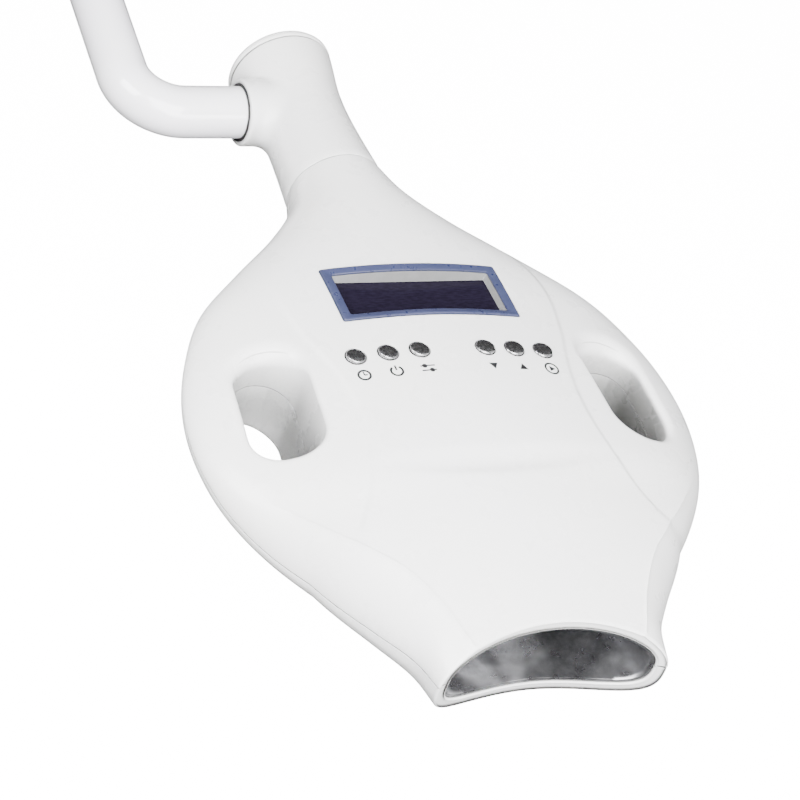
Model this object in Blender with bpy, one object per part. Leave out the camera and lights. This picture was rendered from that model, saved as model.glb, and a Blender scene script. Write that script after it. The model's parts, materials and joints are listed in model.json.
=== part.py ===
"""LED whitening lamp head on a bent arm tube.

The head lies flat: display up (+Z), light mouth towards -Y, neck and arm towards +Y. Shapes are worked out
in millimetres in the head's own frame, whose origin is the middle of the display on the panel's surface, and
turned into metres in the part's frame, whose origin is the middle of the arm end's flat face.
"""

import math

import bmesh
import bpy
import numpy as np
from mathutils import Matrix, Vector
from mathutils.geometry import delaunay_2d_cdt

MM = 0.001
GAP = 0.3                     # clearance kept between touching pieces

# Body: (y, half width, height of the widest line, top, bottom, fullness of the top, fullness of the bottom)
PROFILE = (
    (-159.5, 47.2, -40.0, -20.5, -60.6, 2.2, 3.0),
    (-146.0, 51.2, -41.0, -17.0, -60.4, 2.6, 2.8),
    (-132.0, 61.4, -41.5, -13.5, -60.0, 2.9, 2.6),
    (-117.0, 76.0, -40.5, -10.0, -59.5, 2.7, 2.3),
    (-101.0, 89.5, -38.5, -7.0, -59.5, 2.4, 2.1),
    (-82.0, 100.5, -35.0, -4.0, -59.0, 2.0, 2.0),
    (-61.0, 106.0, -31.0, -1.5, -57.5, 1.75, 2.0),
    (-37.0, 105.5, -27.0, -0.2, -55.5, 1.7, 2.0),
    (-13.0, 98.0, -23.0, 0.0, -53.0, 1.75, 2.0),
    (10.0, 84.6, -20.5, 0.0, -50.0, 1.9, 2.0),
    (28.0, 66.2, -19.5, 0.0, -47.5, 2.0, 2.0),
    (50.0, 42.8, -19.5, 0.0, -45.0, 2.0, 2.0),
    (70.0, 27.0, -20.5, -0.2, -43.0, 2.0, 2.0),
    (86.0, 20.8, -21.3, -0.5, -42.1, 2.0, 2.0),
)
MOUTH_Y, COLLAR_Y = PROFILE[0][0], PROFILE[-1][0]
MOUTH_BLEND = 44.5            # length over which the body turns into the mouth's curved rim
MOUTH_CURVE = 0.0047          # how far the rim's sides come forward, per square mm of half width
MOUTH_ARCH = 3.0              # rise of the mouth's lower edge at its middle
WALL = 2.6
RIM_EXTRA = 2.0               # the wall grows by this much at the mouth

# Neck and arm
NECK_RISE = math.radians(3.6)
NECK_START = Vector((0.0, COLLAR_Y, -21.3))
NECK_AXIS = Vector((0.0, math.cos(NECK_RISE), math.sin(NECK_RISE)))
NECK_LENGTH = 72.8
NECK_BORE = 16.4
NECK_MOUTH, NECK_STOP = 15.0, 3.2   # narrower opening at the collar: radius and depth
PIVOT_AT = 49.1               # distance of the tilt axis from the collar, along the neck
PIVOT = NECK_START + NECK_AXIS * PIVOT_AT
BOSS_REACH, BOSS_RADIUS, BOSS_BORE = 27.2, 14.3, 13.0
BOSS_MOUTH, BOSS_LIP = 12.2, 1.2    # narrower opening in the boss's face: radius and depth
TUBE_RADIUS, TUBE_WALL = 11.0, 1.5
SLIDE = TUBE_RADIUS + GAP       # bore of the rings that turn on the tube
TUBE_CORNER = 73.6            # distance of the bend's corner from the neck's axis
TUBE_BEND = 22.0              # bend radius of the tube's centre line
ARM_RISE = math.radians(9.1)
ARM_AXIS = Vector((0.0, math.cos(ARM_RISE), math.sin(ARM_RISE)))
ARM_REACH = 150.0             # from the bend's corner to the tube's end
SPIGOT_LENGTH = 28.0
ARM_END = PIVOT + Vector((-TUBE_CORNER, 0.0, 0.0)) + ARM_AXIS * (ARM_REACH + SPIGOT_LENGTH)

# Panel
BEZEL_HALF = (38.0, 14.8)
SCREEN_HALF = (34.2, 11.6)
WINDOW_TOP = -5.8
WINDOW_THICK = 1.2
BEZEL_RISE = 0.7
WINDOW_TAPER = 1.0            # how far the recess's walls lean in
LCD_HALF = (40.0, 13.0)
BUTTON_Y = -34.2
BUTTON_RADIUS = 3.95
BUTTON_RISE = 1.3
BUTTON_TRAVEL = 0.8
BUTTON_FLANGE, BUTTON_STEM = 5.2, 1.6
BUTTONS = (("time", -40.2), ("power", -27.1), ("mode", -14.1), ("down", 14.1), ("up", 27.1), ("start", 40.2))
BOARD_TOP, BOARD_THICK = -13.3, 1.6
SWITCH_HEIGHT, SWITCH_BODY = 4.0, 3.2

# Finger holes
GRIP_AT = (74.0, -49.4)
GRIP_HALF = (13.8, 25.0)
GRIP_TILT = math.radians(4.0)
GRIP_FILLET = 3.0                   # rounding of the hole's upper and lower edge
GRIP_FOOT = {1: 0.0, -1: 1.8}       # how much narrower the hole is there, above and below
GRIP_DRAFT = 0.9                    # and at the parting line

# Closing screws: places, and the radii of the posts they run in
SCREWS = ((-27.0, 40.0), (27.0, 40.0), (-54.0, -92.0), (54.0, -92.0))
POST_RADIUS, COUNTERBORE, SHANK_HOLE = 5.2, 3.7, 1.9
SCREW_DEPTH = 9.0

# Light engine, behind the mouth
LED_Y = -112.0
LED_HALF = (31.0, 12.0)
LED_Z = -38.0
LED_PITCH, LED_FOOT, LED_DOME = (18.0, 5.0), 3.4, 2.6
FAN_AT = Vector((0.0, -68.0, -33.0))
FAN_HALF, FAN_DEPTH, FAN_BORE = 20.0, 10.0, 18.6

MATERIALS = {                 # base colour, roughness, metallic
    "shell_white": ((0.80, 0.80, 0.81), 0.32, 0.0),
    "tube_white": ((0.86, 0.86, 0.88), 0.18, 0.0),
    "bezel_blue": ((0.10, 0.19, 0.42), 0.38, 0.0),
    "frame_grey": ((0.55, 0.56, 0.58), 0.5, 0.0),
    "display_glass": ((0.02, 0.02, 0.05), 0.08, 0.0),
    "chrome": ((0.72, 0.73, 0.75), 0.08, 1.0),
    "reflector_metal": ((0.62, 0.63, 0.66), 0.3, 1.0),
    "board_green": ((0.03, 0.16, 0.07), 0.5, 0.0),
    "black_plastic": ((0.03, 0.03, 0.03), 0.5, 0.0),
    "rubber_black": ((0.02, 0.02, 0.02), 0.8, 0.0),
    "nylon_white": ((0.75, 0.74, 0.70), 0.55, 0.0),
    "board_white": ((0.80, 0.80, 0.78), 0.5, 0.0),
    "aluminium": ((0.60, 0.61, 0.63), 0.35, 1.0),
    "steel": ((0.48, 0.49, 0.51), 0.3, 1.0),
    "led_dome": ((0.55, 0.62, 0.85), 0.1, 0.0),
}


# ---------------------------------------------------------------- scene helpers

def clear_scene():
    for item in list(bpy.data.objects):
        bpy.data.objects.remove(item)


def material(name):
    found = bpy.data.materials.get(name)
    if found:
        return found
    colour, roughness, metallic = MATERIALS[name]
    made = bpy.data.materials.new(name)
    made.use_nodes = True
    shader = made.node_tree.nodes["Principled BSDF"]
    shader.inputs["Base Color"].default_value = (*colour, 1.0)
    shader.inputs["Roughness"].default_value = roughness
    shader.inputs["Metallic"].default_value = metallic
    return made


def joint_frame(name, place, parent=None):
    """An empty at a place given in millimetres in the head's frame; moving pieces hang on one at their axis."""
    empty = bpy.data.objects.new(name, None)
    bpy.context.collection.objects.link(empty)
    empty["place"] = tuple(place)
    origin = Vector(parent["place"]) if parent else ARM_END
    empty.location = (Vector(place) - origin) * MM
    empty.parent = parent
    return empty


def add_part(name, form, finish, parent, sharp=35.0):
    """Make the object `name` from a form (points in head millimetres, faces) hung on a joint frame."""
    points, faces = form
    origin = Vector(parent["place"])
    mesh = bpy.data.meshes.new(name)
    mesh.from_pydata([(Vector(point) - origin) * MM for point in points], [], faces)
    work = bmesh.new()
    work.from_mesh(mesh)
    bmesh.ops.recalc_face_normals(work, faces=work.faces)
    if work.calc_volume(signed=True) < 0:
        bmesh.ops.reverse_faces(work, faces=work.faces)
    work.to_mesh(mesh)
    work.free()
    mesh.shade_smooth()
    mesh.set_sharp_from_angle(angle=math.radians(sharp))
    mesh.materials.append(material(finish))
    item = bpy.data.objects.new(name, mesh)
    bpy.context.collection.objects.link(item)
    item.parent = parent
    return item


def combine(target, tool_form, operation):
    """Boolean a helper form with a finished part; the helper stays hidden in the file."""
    tool = add_part(f"{target.name}_tool_{len(target.modifiers)}", tool_form, "nylon_white", target.parent)
    tool.hide_render = True
    tool.display_type = "WIRE"
    step = target.modifiers.new(f"{operation.lower()}_{len(target.modifiers)}", "BOOLEAN")
    step.operation = operation
    step.object = tool
    step.solver = "EXACT"


# ---------------------------------------------------------------- plain forms

def turned(profile, start, axis, steps=32):
    """Revolve (distance, radius) points about an axis. A profile that starts and ends at radius 0 is closed by
    its poles; any other profile is a closed ring outline."""
    axis = Vector(axis).normalized()
    side = axis.orthogonal().normalized()
    up = axis.cross(side)
    points, rings = [], []
    for distance, radius in profile:
        centre = Vector(start) + axis * distance
        if radius == 0:
            rings.append([len(points)] * steps)
            points.append(centre)
            continue
        rings.append(list(range(len(points), len(points) + steps)))
        for turn in np.linspace(0, 2 * math.pi, steps, endpoint=False):
            points.append(centre + (side * math.cos(turn) + up * math.sin(turn)) * radius)
    poles = profile[0][1] == 0
    pairs = list(zip(rings, rings[1:])) + ([] if poles else [(rings[-1], rings[0])])
    return points, [face for a, b in pairs for face in band(a, b)]


def band(first, second):
    """Quads between two closed loops of equal length; a loop of one repeated point gives triangles."""
    faces = []
    for i, a in enumerate(first):
        b, c, d = first[i - 1], second[i - 1], second[i]
        corners = tuple(dict.fromkeys((a, b, c, d)))
        if len(corners) > 2:
            faces.append(corners)
    return faces


def tube_ring(start, axis, inner, outer, length, steps=32):
    return turned(((0, inner), (0, outer), (length, outer), (length, inner)), start, axis, steps)


def rod(start, axis, radius, length, steps=24, chamfer=0.0):
    profile = [(0, 0), (0, radius - chamfer)]
    if chamfer:
        profile += [(chamfer, radius), (length - chamfer, radius)]
    profile += [(length, radius - chamfer), (length, 0)]
    return turned(profile, start, axis, steps)


def prism(outline, low, high):
    """Extrude a closed outline between two heights given as numbers or as functions of (x, y)."""
    count = len(outline)
    level = [(h if callable(h) else (lambda x, y, h=h: h)) for h in (low, high)]
    points = [Vector((x, y, height(x, y))) for height in level for x, y in outline]
    lower, upper = list(range(count)), list(range(count, 2 * count))
    return points, [tuple(reversed(lower)), tuple(upper)] + band(lower, upper)


def frame_form(outer, inner, low, high, foot=None):
    """A frame between two outlines of equal length, following `low` and `high` over x and y. `foot` is the
    inner outline at the frame's underside where that differs."""
    count = len(outer)
    points, loops = [], []
    for outline, height in ((outer, low), (outer, high), (inner, high), (foot or inner, low)):
        loops.append(list(range(len(points), len(points) + count)))
        points += [Vector((x, y, height(x, y))) for x, y in outline]
    return points, [face for a, b in zip(loops, loops[1:] + loops[:1]) for face in band(a, b)]


def outline(centre, half, radius, tilt=0.0, corner_steps=4, side_steps=1):
    """Rounded rectangle as (x, y) points, anticlockwise; `tilt` turns it about its centre."""
    points = []
    inner = (half[0] - radius, half[1] - radius)
    for quarter, (sx, sy) in enumerate(((1, 1), (-1, 1), (-1, -1), (1, -1))):
        for step in range(corner_steps + 1):
            turn = math.pi / 2 * (quarter + step / corner_steps)
            points.append((sx * inner[0] + radius * math.cos(turn), sy * inner[1] + radius * math.sin(turn)))
        following = ((-1, 1), (-1, -1), (1, -1), (1, 1))[quarter]
        turn = math.pi / 2 * (quarter + 1)
        start, end = points[-1], (following[0] * inner[0] + radius * math.cos(turn),
                                  following[1] * inner[1] + radius * math.sin(turn))
        for step in range(1, side_steps):
            share = step / side_steps
            points.append((start[0] + (end[0] - start[0]) * share, start[1] + (end[1] - start[1]) * share))
    cosine, sine = math.cos(tilt), math.sin(tilt)
    return [(centre[0] + x * cosine - y * sine, centre[1] + x * sine + y * cosine) for x, y in points]


def circle(centre, radius, steps=12):
    turns = np.linspace(0, 2 * math.pi, steps, endpoint=False)
    return [(centre[0] + radius * math.cos(t), centre[1] + radius * math.sin(t)) for t in turns]


def inside(point, polygon):
    x, y = point
    hit = False
    for (x1, y1), (x2, y2) in zip(polygon, polygon[1:] + polygon[:1]):
        if (y1 > y) != (y2 > y) and x < (x2 - x1) * (y - y1) / (y2 - y1) + x1:
            hit = not hit
    return hit


# ---------------------------------------------------------------- body surface

STATION_Y = np.array([row[0] for row in PROFILE])
SLOPES = [np.gradient([row[k] for row in PROFILE], STATION_Y) for k in range(1, 7)]


def section(y):
    """Half width, widest line, top, bottom and the two fullness powers at y, smoothly between the stations."""
    i = int(np.clip(np.searchsorted(STATION_Y, y) - 1, 0, len(PROFILE) - 2))
    h = STATION_Y[i + 1] - STATION_Y[i]
    s = (y - STATION_Y[i]) / h
    weights = ((1 + 2 * s) * (1 - s) ** 2, s * (1 - s) ** 2 * h, s * s * (3 - 2 * s), s * s * (s - 1) * h)
    return [weights[0] * PROFILE[i][k + 1] + weights[1] * SLOPES[k][i]
            + weights[2] * PROFILE[i + 1][k + 1] + weights[3] * SLOPES[k][i + 1] for k in range(6)]


def mouth_share(y):
    return float(np.clip((MOUTH_Y + MOUTH_BLEND - y) / MOUTH_BLEND, 0, 1))


def body_point(half, inset, angle, y):
    """Point of the upper (half = 1) or lower (half = -1) skin, `inset` inside the outer surface."""
    width, middle, top, bottom, top_power, bottom_power = section(y)
    share = mouth_share(y)
    inset += RIM_EXTRA * share if inset else 0.0
    sine = math.sin(angle)
    x = (width - inset) * sine
    power = top_power if half > 0 else bottom_power
    rise = max(0.0, 1 - abs(sine) ** power) ** (1 / power)
    edge = middle + half * GAP / 2
    peak = top - inset if half > 0 else bottom + inset
    z = edge + (peak - edge) * rise
    if half < 0:
        z += MOUTH_ARCH * share * (1 - sine * sine)
    lean = math.tan(NECK_RISE) * np.clip((y - 50.0) / (COLLAR_Y - 50.0), 0, 1)
    return Vector((x, y - MOUTH_CURVE * share * x * x - lean * (z - NECK_START.z), z))


def skin_angle(x, y, inset=0.0):
    return math.asin(np.clip(x / (section(y)[0] - inset), -1, 1))


def height(half, x, y, inset=0.0):
    return body_point(half, inset, skin_angle(x, y, inset), y).z


def top_height(x, y):
    return height(1, x, y)


def skin(half, inset, angles, stations, openings):
    """Triangulate one skin round its openings. Each opening is a list of rings of 3-D points, widest first; the
    part inside its last ring is left out. Returns the points, the triangles and the rows along the edges."""
    points, flat, edges = [], [], []

    def add(point, angle, y):
        points.append(point)
        flat.append(Vector((angle * 100.0, y)))
        return len(points) - 1

    ring_rows = []
    for rings in openings:
        for ring in rings:
            row = [add(p, skin_angle(p.x, p.y, inset), p.y) for p in ring]
            edges += list(zip(row, row[1:] + row[:1]))
        ring_rows.append(row)
    keep_out = []
    for rings in openings:
        centre = sum((Vector(p[:2]) for p in rings[0]), Vector((0, 0))) / len(rings[0])
        keep_out.append([tuple(centre + (Vector(p[:2]) - centre) * 1.06
                               + (Vector(p[:2]) - centre).normalized() * 1.2) for p in rings[0]])
    grid = []
    for i, y in enumerate(stations):
        row = []
        for j, angle in enumerate(angles):
            point = body_point(half, inset, angle, y)
            edge = i in (0, len(stations) - 1) or j in (0, len(angles) - 1)
            if edge or not any(inside((point.x, y), polygon) for polygon in keep_out):
                row.append(add(point, angle, y))
        grid.append(row)
    out = delaunay_2d_cdt(flat, edges, [], 0, 1e-5)
    source = [ids[0] for ids in out[3]]
    holes = [[tuple(flat[k]) for k in row] for row in ring_rows]
    triangles = []
    for face in out[2]:
        middle = sum((out[0][k] for k in face), Vector((0, 0))) / 3
        if not any(inside(tuple(middle), hole) for hole in holes):
            triangles.append(tuple(source[k] for k in face))
    sides = [row[0] for row in grid], [row[-1] for row in grid]
    return points, triangles, (grid[0], sides[1], grid[-1][::-1], sides[0][::-1]), ring_rows


def shell(half, angles, stations, grips, plain):
    """A shell half: outer and inner skin, joined round the edge, down the finger holes and at plain holes."""
    fillet = [(GRIP_FILLET * (1 - math.cos(t)) - GRIP_FOOT[half], GRIP_FILLET * (1 - math.sin(t)))
              for t in np.linspace(math.pi / 2, 0, 3)]
    outer_openings, inner_openings, walls = [], [], []
    for place, side in grips:
        ring = [[Vector((x, y, height(half, x, y) - half * depth)) for x, y in grip_outline(place, side, wide)]
                for wide, depth in fillet]
        outer_openings.append(ring)
        wide = grip_outline(place, side, WALL)
        inner_openings.append([[Vector((x, y, height(half, x, y, WALL))) for x, y in wide]])
        walls.append([[Vector((x, y, section(y)[1] + half * GAP / 2)) for x, y in grip_outline(place, side, w)]
                      for w in (-GRIP_DRAFT, WALL)])
    for shape in plain:
        outer_openings.append([[Vector((x, y, height(half, x, y))) for x, y in shape]])
        inner_openings.append([[Vector((x, y, height(half, x, y, WALL))) for x, y in shape]])
    outer = skin(half, 0.0, angles, stations, outer_openings)
    inner = skin(half, WALL, angles, stations, inner_openings)
    shift = len(outer[0])
    points = outer[0] + inner[0]
    faces = outer[1] + [tuple(k + shift for k in face) for face in inner[1]]
    for row_out, row_in in zip(outer[2], inner[2]):
        row_in = [k + shift for k in row_in]
        faces += [(a, b, d, c) for a, b, c, d in zip(row_out, row_out[1:], row_in, row_in[1:])]
    for k, (loop_out, loop_in) in enumerate(zip(outer[3], inner[3])):
        loops = [loop_out]
        for ring in (walls[k] if k < len(walls) else []):
            loops.append(list(range(len(points), len(points) + len(ring))))
            points += ring
        loops.append([i + shift for i in loop_in])
        faces += [face for a, b in zip(loops, loops[1:]) for face in band(a, b)]
    return points, faces


def grip_outline(place, side, extra):
    half = (GRIP_HALF[0] + extra, GRIP_HALF[1] + extra)
    return outline(place, half, half[0] - 0.5, side * GRIP_TILT, corner_steps=4, side_steps=2)


# ---------------------------------------------------------------- shells

BODY_ANGLES = np.linspace(-math.pi / 2, math.pi / 2, 15)
BODY_STATIONS = np.concatenate([np.linspace(MOUTH_Y, -120.0, 5), np.linspace(-102.0, 48.0, 9),
                                np.linspace(60.0, COLLAR_Y, 3)])
GRIPS = [((side * GRIP_AT[0], GRIP_AT[1]), side) for side in (-1, 1)]


def display_outline(extra):
    half = (BEZEL_HALF[0] + extra, BEZEL_HALF[1] + extra)
    return outline((0, 0), half, 1.2 + max(0.0, extra), corner_steps=2, side_steps=5)


def screen_outline(extra):
    half = (SCREEN_HALF[0] + extra, SCREEN_HALF[1] + extra)
    return outline((0, 0), half, 1.0 + max(0.0, extra), corner_steps=2, side_steps=5)


def make_top_shell(parent):
    plain = [display_outline(GAP)] + [circle((x, BUTTON_Y), BUTTON_RADIUS + GAP) for _, x in BUTTONS]
    item = add_part("top_shell", shell(1, BODY_ANGLES, BODY_STATIONS, GRIPS, plain), "shell_white", parent)
    for x, y in SCREWS:
        parting = section(y)[1]
        post_top = height(1, x, y, WALL * 0.9)
        post = rod((x, y, parting + GAP), (0, 0, 1), POST_RADIUS - 1, post_top - parting - GAP, 16)
        combine(item, post, "UNION")
        combine(item, rod((x, y, parting - 1), (0, 0, 1), SHANK_HOLE, post_top - parting - 3, 12), "DIFFERENCE")


def vent_outlines():
    return [outline((0, -86.0 + 6.0 * k), (17.0, 1.5), 1.4, corner_steps=2, side_steps=3) for k in range(6)]


def make_bottom_shell(parent):
    form = shell(-1, BODY_ANGLES, BODY_STATIONS, GRIPS, vent_outlines())
    item = add_part("bottom_shell", form, "shell_white", parent)
    for x, y in SCREWS:
        parting, floor = section(y)[1], height(-1, x, y, WALL * 0.9)
        seat = screw_seat(x, y)
        combine(item, rod((x, y, floor), (0, 0, 1), POST_RADIUS, parting - GAP - floor, 20), "UNION")
        combine(item, rod((x, y, floor - 12), (0, 0, 1), COUNTERBORE, seat - floor + 12, 20), "DIFFERENCE")
        combine(item, rod((x, y, seat - 1), (0, 0, 1), SHANK_HOLE, parting - seat + 3, 12), "DIFFERENCE")


def screw_seat(x, y):
    return height(-1, x, y) + SCREW_DEPTH


def make_shell_screws(parent):
    for number, (x, y) in enumerate(SCREWS, start=1):
        seat = screw_seat(x, y) - GAP
        grip = section(y)[1] + 4.5 - seat
        head = ((-2.4, 0), (-2.4, 2.2), (-1.6, 3.1), (0, 3.2), (0, 1.5), (grip, 1.5), (grip + 1.0, 0.6),
                (grip + 1.0, 0))
        add_part(f"shell_screw_{number}", turned(head, (x, y, seat), (0, 0, 1), 12), "steel", parent)


# ---------------------------------------------------------------- panel

def make_display(parent):
    def panel(lift):
        return lambda x, y: top_height(x, y) + lift

    bezel = frame_form(display_outline(0), screen_outline(0), panel(-BEZEL_RISE), panel(BEZEL_RISE))
    add_part("display_bezel", bezel, "bezel_blue", parent)
    frame = frame_form(display_outline(-0.6), screen_outline(0), lambda x, y: WINDOW_TOP + GAP,
                       panel(-BEZEL_RISE - GAP), screen_outline(-WINDOW_TAPER))
    add_part("display_frame", frame, "frame_grey", parent)
    add_part("display_window", prism(screen_outline(1.2), WINDOW_TOP - WINDOW_THICK, WINDOW_TOP),
             "display_glass", parent)
    module = outline((0, 0), LCD_HALF, 0.8, corner_steps=2)
    add_part("lcd_module", prism(module, BOARD_TOP + GAP, WINDOW_TOP - WINDOW_THICK - GAP), "black_plastic",
             parent)
    board = outline((0, -13.0), (47.0, 31.0), 3.0, corner_steps=3)
    add_part("control_board", prism(board, BOARD_TOP - BOARD_THICK, BOARD_TOP), "board_green", parent)


def make_buttons(parent):
    """Domed buttons, each on its own frame at its slide axis, over a push switch on the board."""
    plunger = BOARD_TOP + GAP + SWITCH_HEIGHT
    for name, x in BUTTONS:
        surface = top_height(x, BUTTON_Y)
        stem = plunger + BUTTON_TRAVEL + 0.2 - surface
        flange = -WALL - 1.6
        profile = [(stem, 0), (stem, BUTTON_STEM), (flange, BUTTON_STEM), (flange, BUTTON_FLANGE),
                   (flange + 1.0, BUTTON_FLANGE), (flange + 1.0, BUTTON_RADIUS), (0.3, BUTTON_RADIUS)]
        dome = [(0.3 + (BUTTON_RISE - 0.3) * math.sin(t), BUTTON_RADIUS * math.cos(t))
                for t in np.linspace(0, math.pi / 2, 4)[1:-1]]
        place = Vector((x, BUTTON_Y, surface))
        axis = joint_frame(f"button_{name}_axis", place, parent)
        form = turned(profile + dome + [(BUTTON_RISE, 0)], place, (0, 0, 1), 14)
        add_part(f"button_{name}", form, "chrome", axis)
        base = BOARD_TOP + GAP
        body = outline((x, BUTTON_Y), (3.0, 3.0), 0.4, corner_steps=1)
        item = add_part(f"switch_{name}", prism(body, base, base + SWITCH_BODY), "black_plastic", parent)
        foot = base + SWITCH_BODY - 0.2
        combine(item, rod((x, BUTTON_Y, foot), (0, 0, 1), 1.6, base + SWITCH_HEIGHT - foot, 12), "UNION")


# ---------------------------------------------------------------- light engine

REFLECTOR_START = MOUTH_Y + 1.0
REFLECTOR_STEPS = 6
REFLECTOR_WALL = 1.2
MOUTH_POINTS = 32
WINDOW_POWER = 0.45           # squareness of the reflector's window onto the light board


def reflector_ring(share, inset):
    """Loop of the reflector: the mouth's opening at share 0, the light board's rounded window at share 1."""
    y = REFLECTOR_START
    front, loop = [], []
    for k in range(MOUTH_POINTS):
        turn = 2 * math.pi * k / MOUTH_POINTS
        half = 1 if turn < math.pi else -1
        front.append(body_point(half, WALL + GAP + inset, half * math.pi / 2 - half * (turn % math.pi), y))
    ease = share * share * (3 - 2 * share)
    for k, point in enumerate(front):
        turn = 2 * math.pi * k / MOUTH_POINTS
        cosine, sine = math.cos(turn), math.sin(turn)
        x = math.copysign(abs(cosine) ** WINDOW_POWER, cosine) * (LED_HALF[0] - inset)
        z = LED_Z + math.copysign(abs(sine) ** WINDOW_POWER, sine) * (LED_HALF[1] - inset)
        back = Vector((x, LED_Y - GAP, z))
        placed = point.lerp(back, ease)
        placed.y = point.y + (back.y - point.y) * share
        loop.append(placed)
    return loop


def make_reflector(parent):
    shares = np.linspace(0, 1, REFLECTOR_STEPS)
    rings = [reflector_ring(s, 0.0) for s in shares] + [reflector_ring(s, REFLECTOR_WALL) for s in shares[::-1]]
    points = [p for ring in rings for p in ring]
    loops = [list(range(MOUTH_POINTS * k, MOUTH_POINTS * (k + 1))) for k in range(len(rings))]
    faces = [face for a, b in zip(loops, loops[1:] + loops[:1]) for face in band(a, b)]
    add_part("reflector", (points, faces), "reflector_metal", parent)


def upright(form, y):
    """Turn a form made in x and y, with height along z, so that its plane stands at y and faces -Y."""
    points, faces = form
    return [Vector((p.x, y - p.z, p.y)) for p in points], faces


def make_light_engine(parent):
    plate = outline((0, LED_Z), (LED_HALF[0] + 1.5, LED_HALF[1] + 1.5), 2.0, corner_steps=2)
    add_part("led_board", upright(prism(plate, -1.6, 0.0), LED_Y), "board_white", parent)
    foot = GAP + 1.2
    for number in range(6):
        x = LED_PITCH[0] * (number % 3 - 1)
        z = LED_Z + (LED_PITCH[1] if number < 3 else -LED_PITCH[1])
        dome = [(foot + LED_DOME * math.sin(t), LED_DOME * math.cos(t))
                for t in np.linspace(0, math.pi / 2, 4)[:-1]]
        profile = [(GAP, 0), (GAP, LED_FOOT), (foot, LED_FOOT)] + dome + [(foot + LED_DOME, 0)]
        add_part(f"led_{number + 1}", turned(profile, (x, LED_Y, z), (0, -1, 0), 10), "led_dome", parent)
    make_heat_sink(parent)


def make_heat_sink(parent):
    """Comb outline in x and y, extruded upwards: a base plate with fins that point backwards."""
    fins, pitch, thick, base, depth = 9, 7.6, 2.0, 4.0, 20.0
    front = LED_Y + 1.6 + GAP
    half = pitch * (fins - 1) / 2 + thick / 2
    comb = [(-half, front), (half, front)]
    for k in reversed(range(fins)):
        x = (k - (fins - 1) / 2) * pitch
        comb += [(x + thick / 2, front + base), (x + thick / 2, front + depth), (x - thick / 2, front + depth),
                 (x - thick / 2, front + base)]
    comb = [comb[0], comb[1]] + comb[3:-1]
    add_part("heat_sink", prism(comb, LED_Z - 13.0, LED_Z + 13.0), "aluminium", parent)


def make_fan(parent):
    back = FAN_AT.y + FAN_DEPTH / 2
    square = outline((0, FAN_AT.z), (FAN_HALF, FAN_HALF), 2.5, corner_steps=2, side_steps=8)
    bore = []
    for x, z in square:
        turn = math.atan2(z - FAN_AT.z, x)
        bore.append((FAN_BORE * math.cos(turn), FAN_AT.z + FAN_BORE * math.sin(turn)))
    add_part("fan_frame", upright(frame_form(square, bore, lambda x, y: 0.0, lambda x, y: FAN_DEPTH), back),
             "black_plastic", parent)
    spin = joint_frame("fan_axis", FAN_AT, parent)
    blades, tip, hub, depth = 7, FAN_BORE - 1.2, 9.0, FAN_DEPTH - 2.0
    count = blades * 8
    points, loops = [], []
    for layer in range(4):
        loops.append(list(range(len(points), len(points) + count)))
        for k in range(count):
            on_blade = k % 8 in (2, 3)
            turn = 2 * math.pi * k / count + math.radians(38) * layer / 3
            radius = tip if on_blade else hub
            y = FAN_AT.y - depth / 2 + depth * layer / 3
            points.append(Vector((radius * math.cos(turn), y, FAN_AT.z + radius * math.sin(turn))))
    faces = [face for a, b in zip(loops, loops[1:]) for face in band(a, b)]
    for loop, place in ((loops[0], -depth / 2), (loops[-1], depth / 2)):
        points.append(FAN_AT + Vector((0, place, 0)))
        faces += [(loop[k - 1], loop[k], len(points) - 1) for k in range(count)]
    add_part("fan_rotor", (points, faces), "black_plastic", spin)


# ---------------------------------------------------------------- neck and arm

NECK_PROFILE = ((GAP, 20.6), (1.0, 20.7), (8.0, 20.4), (18.0, 19.7), (30.0, 19.1), (42.0, 19.0), (52.0, 19.6),
                (60.0, 20.7), (67.0, 21.8), (NECK_LENGTH, 22.6))
CAP_PROFILE = ((79.8, 0), (79.3, 12.0), (78.4, 18.0), (77.2, 21.3), (75.8, 22.7), (74.2, 22.9),
               (NECK_LENGTH + GAP, 22.4))
CAP_PLUG, CAP_HOLLOW = 66.0, 14.2
SEAL_THICK, SEAL_OUT = 1.0, 0.5     # flange of the seal, and how far its lip stands out of the boss
BUSH_LENGTH = 18.6
SLEEVE_RADII, SLEEVE_FLANGE = (11.5, 14.7), 17.4     # the sleeve's bore and outside, and its flange
SPIGOT_RADIUS, SPIGOT_PLUG = 8.0, 9.2


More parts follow.
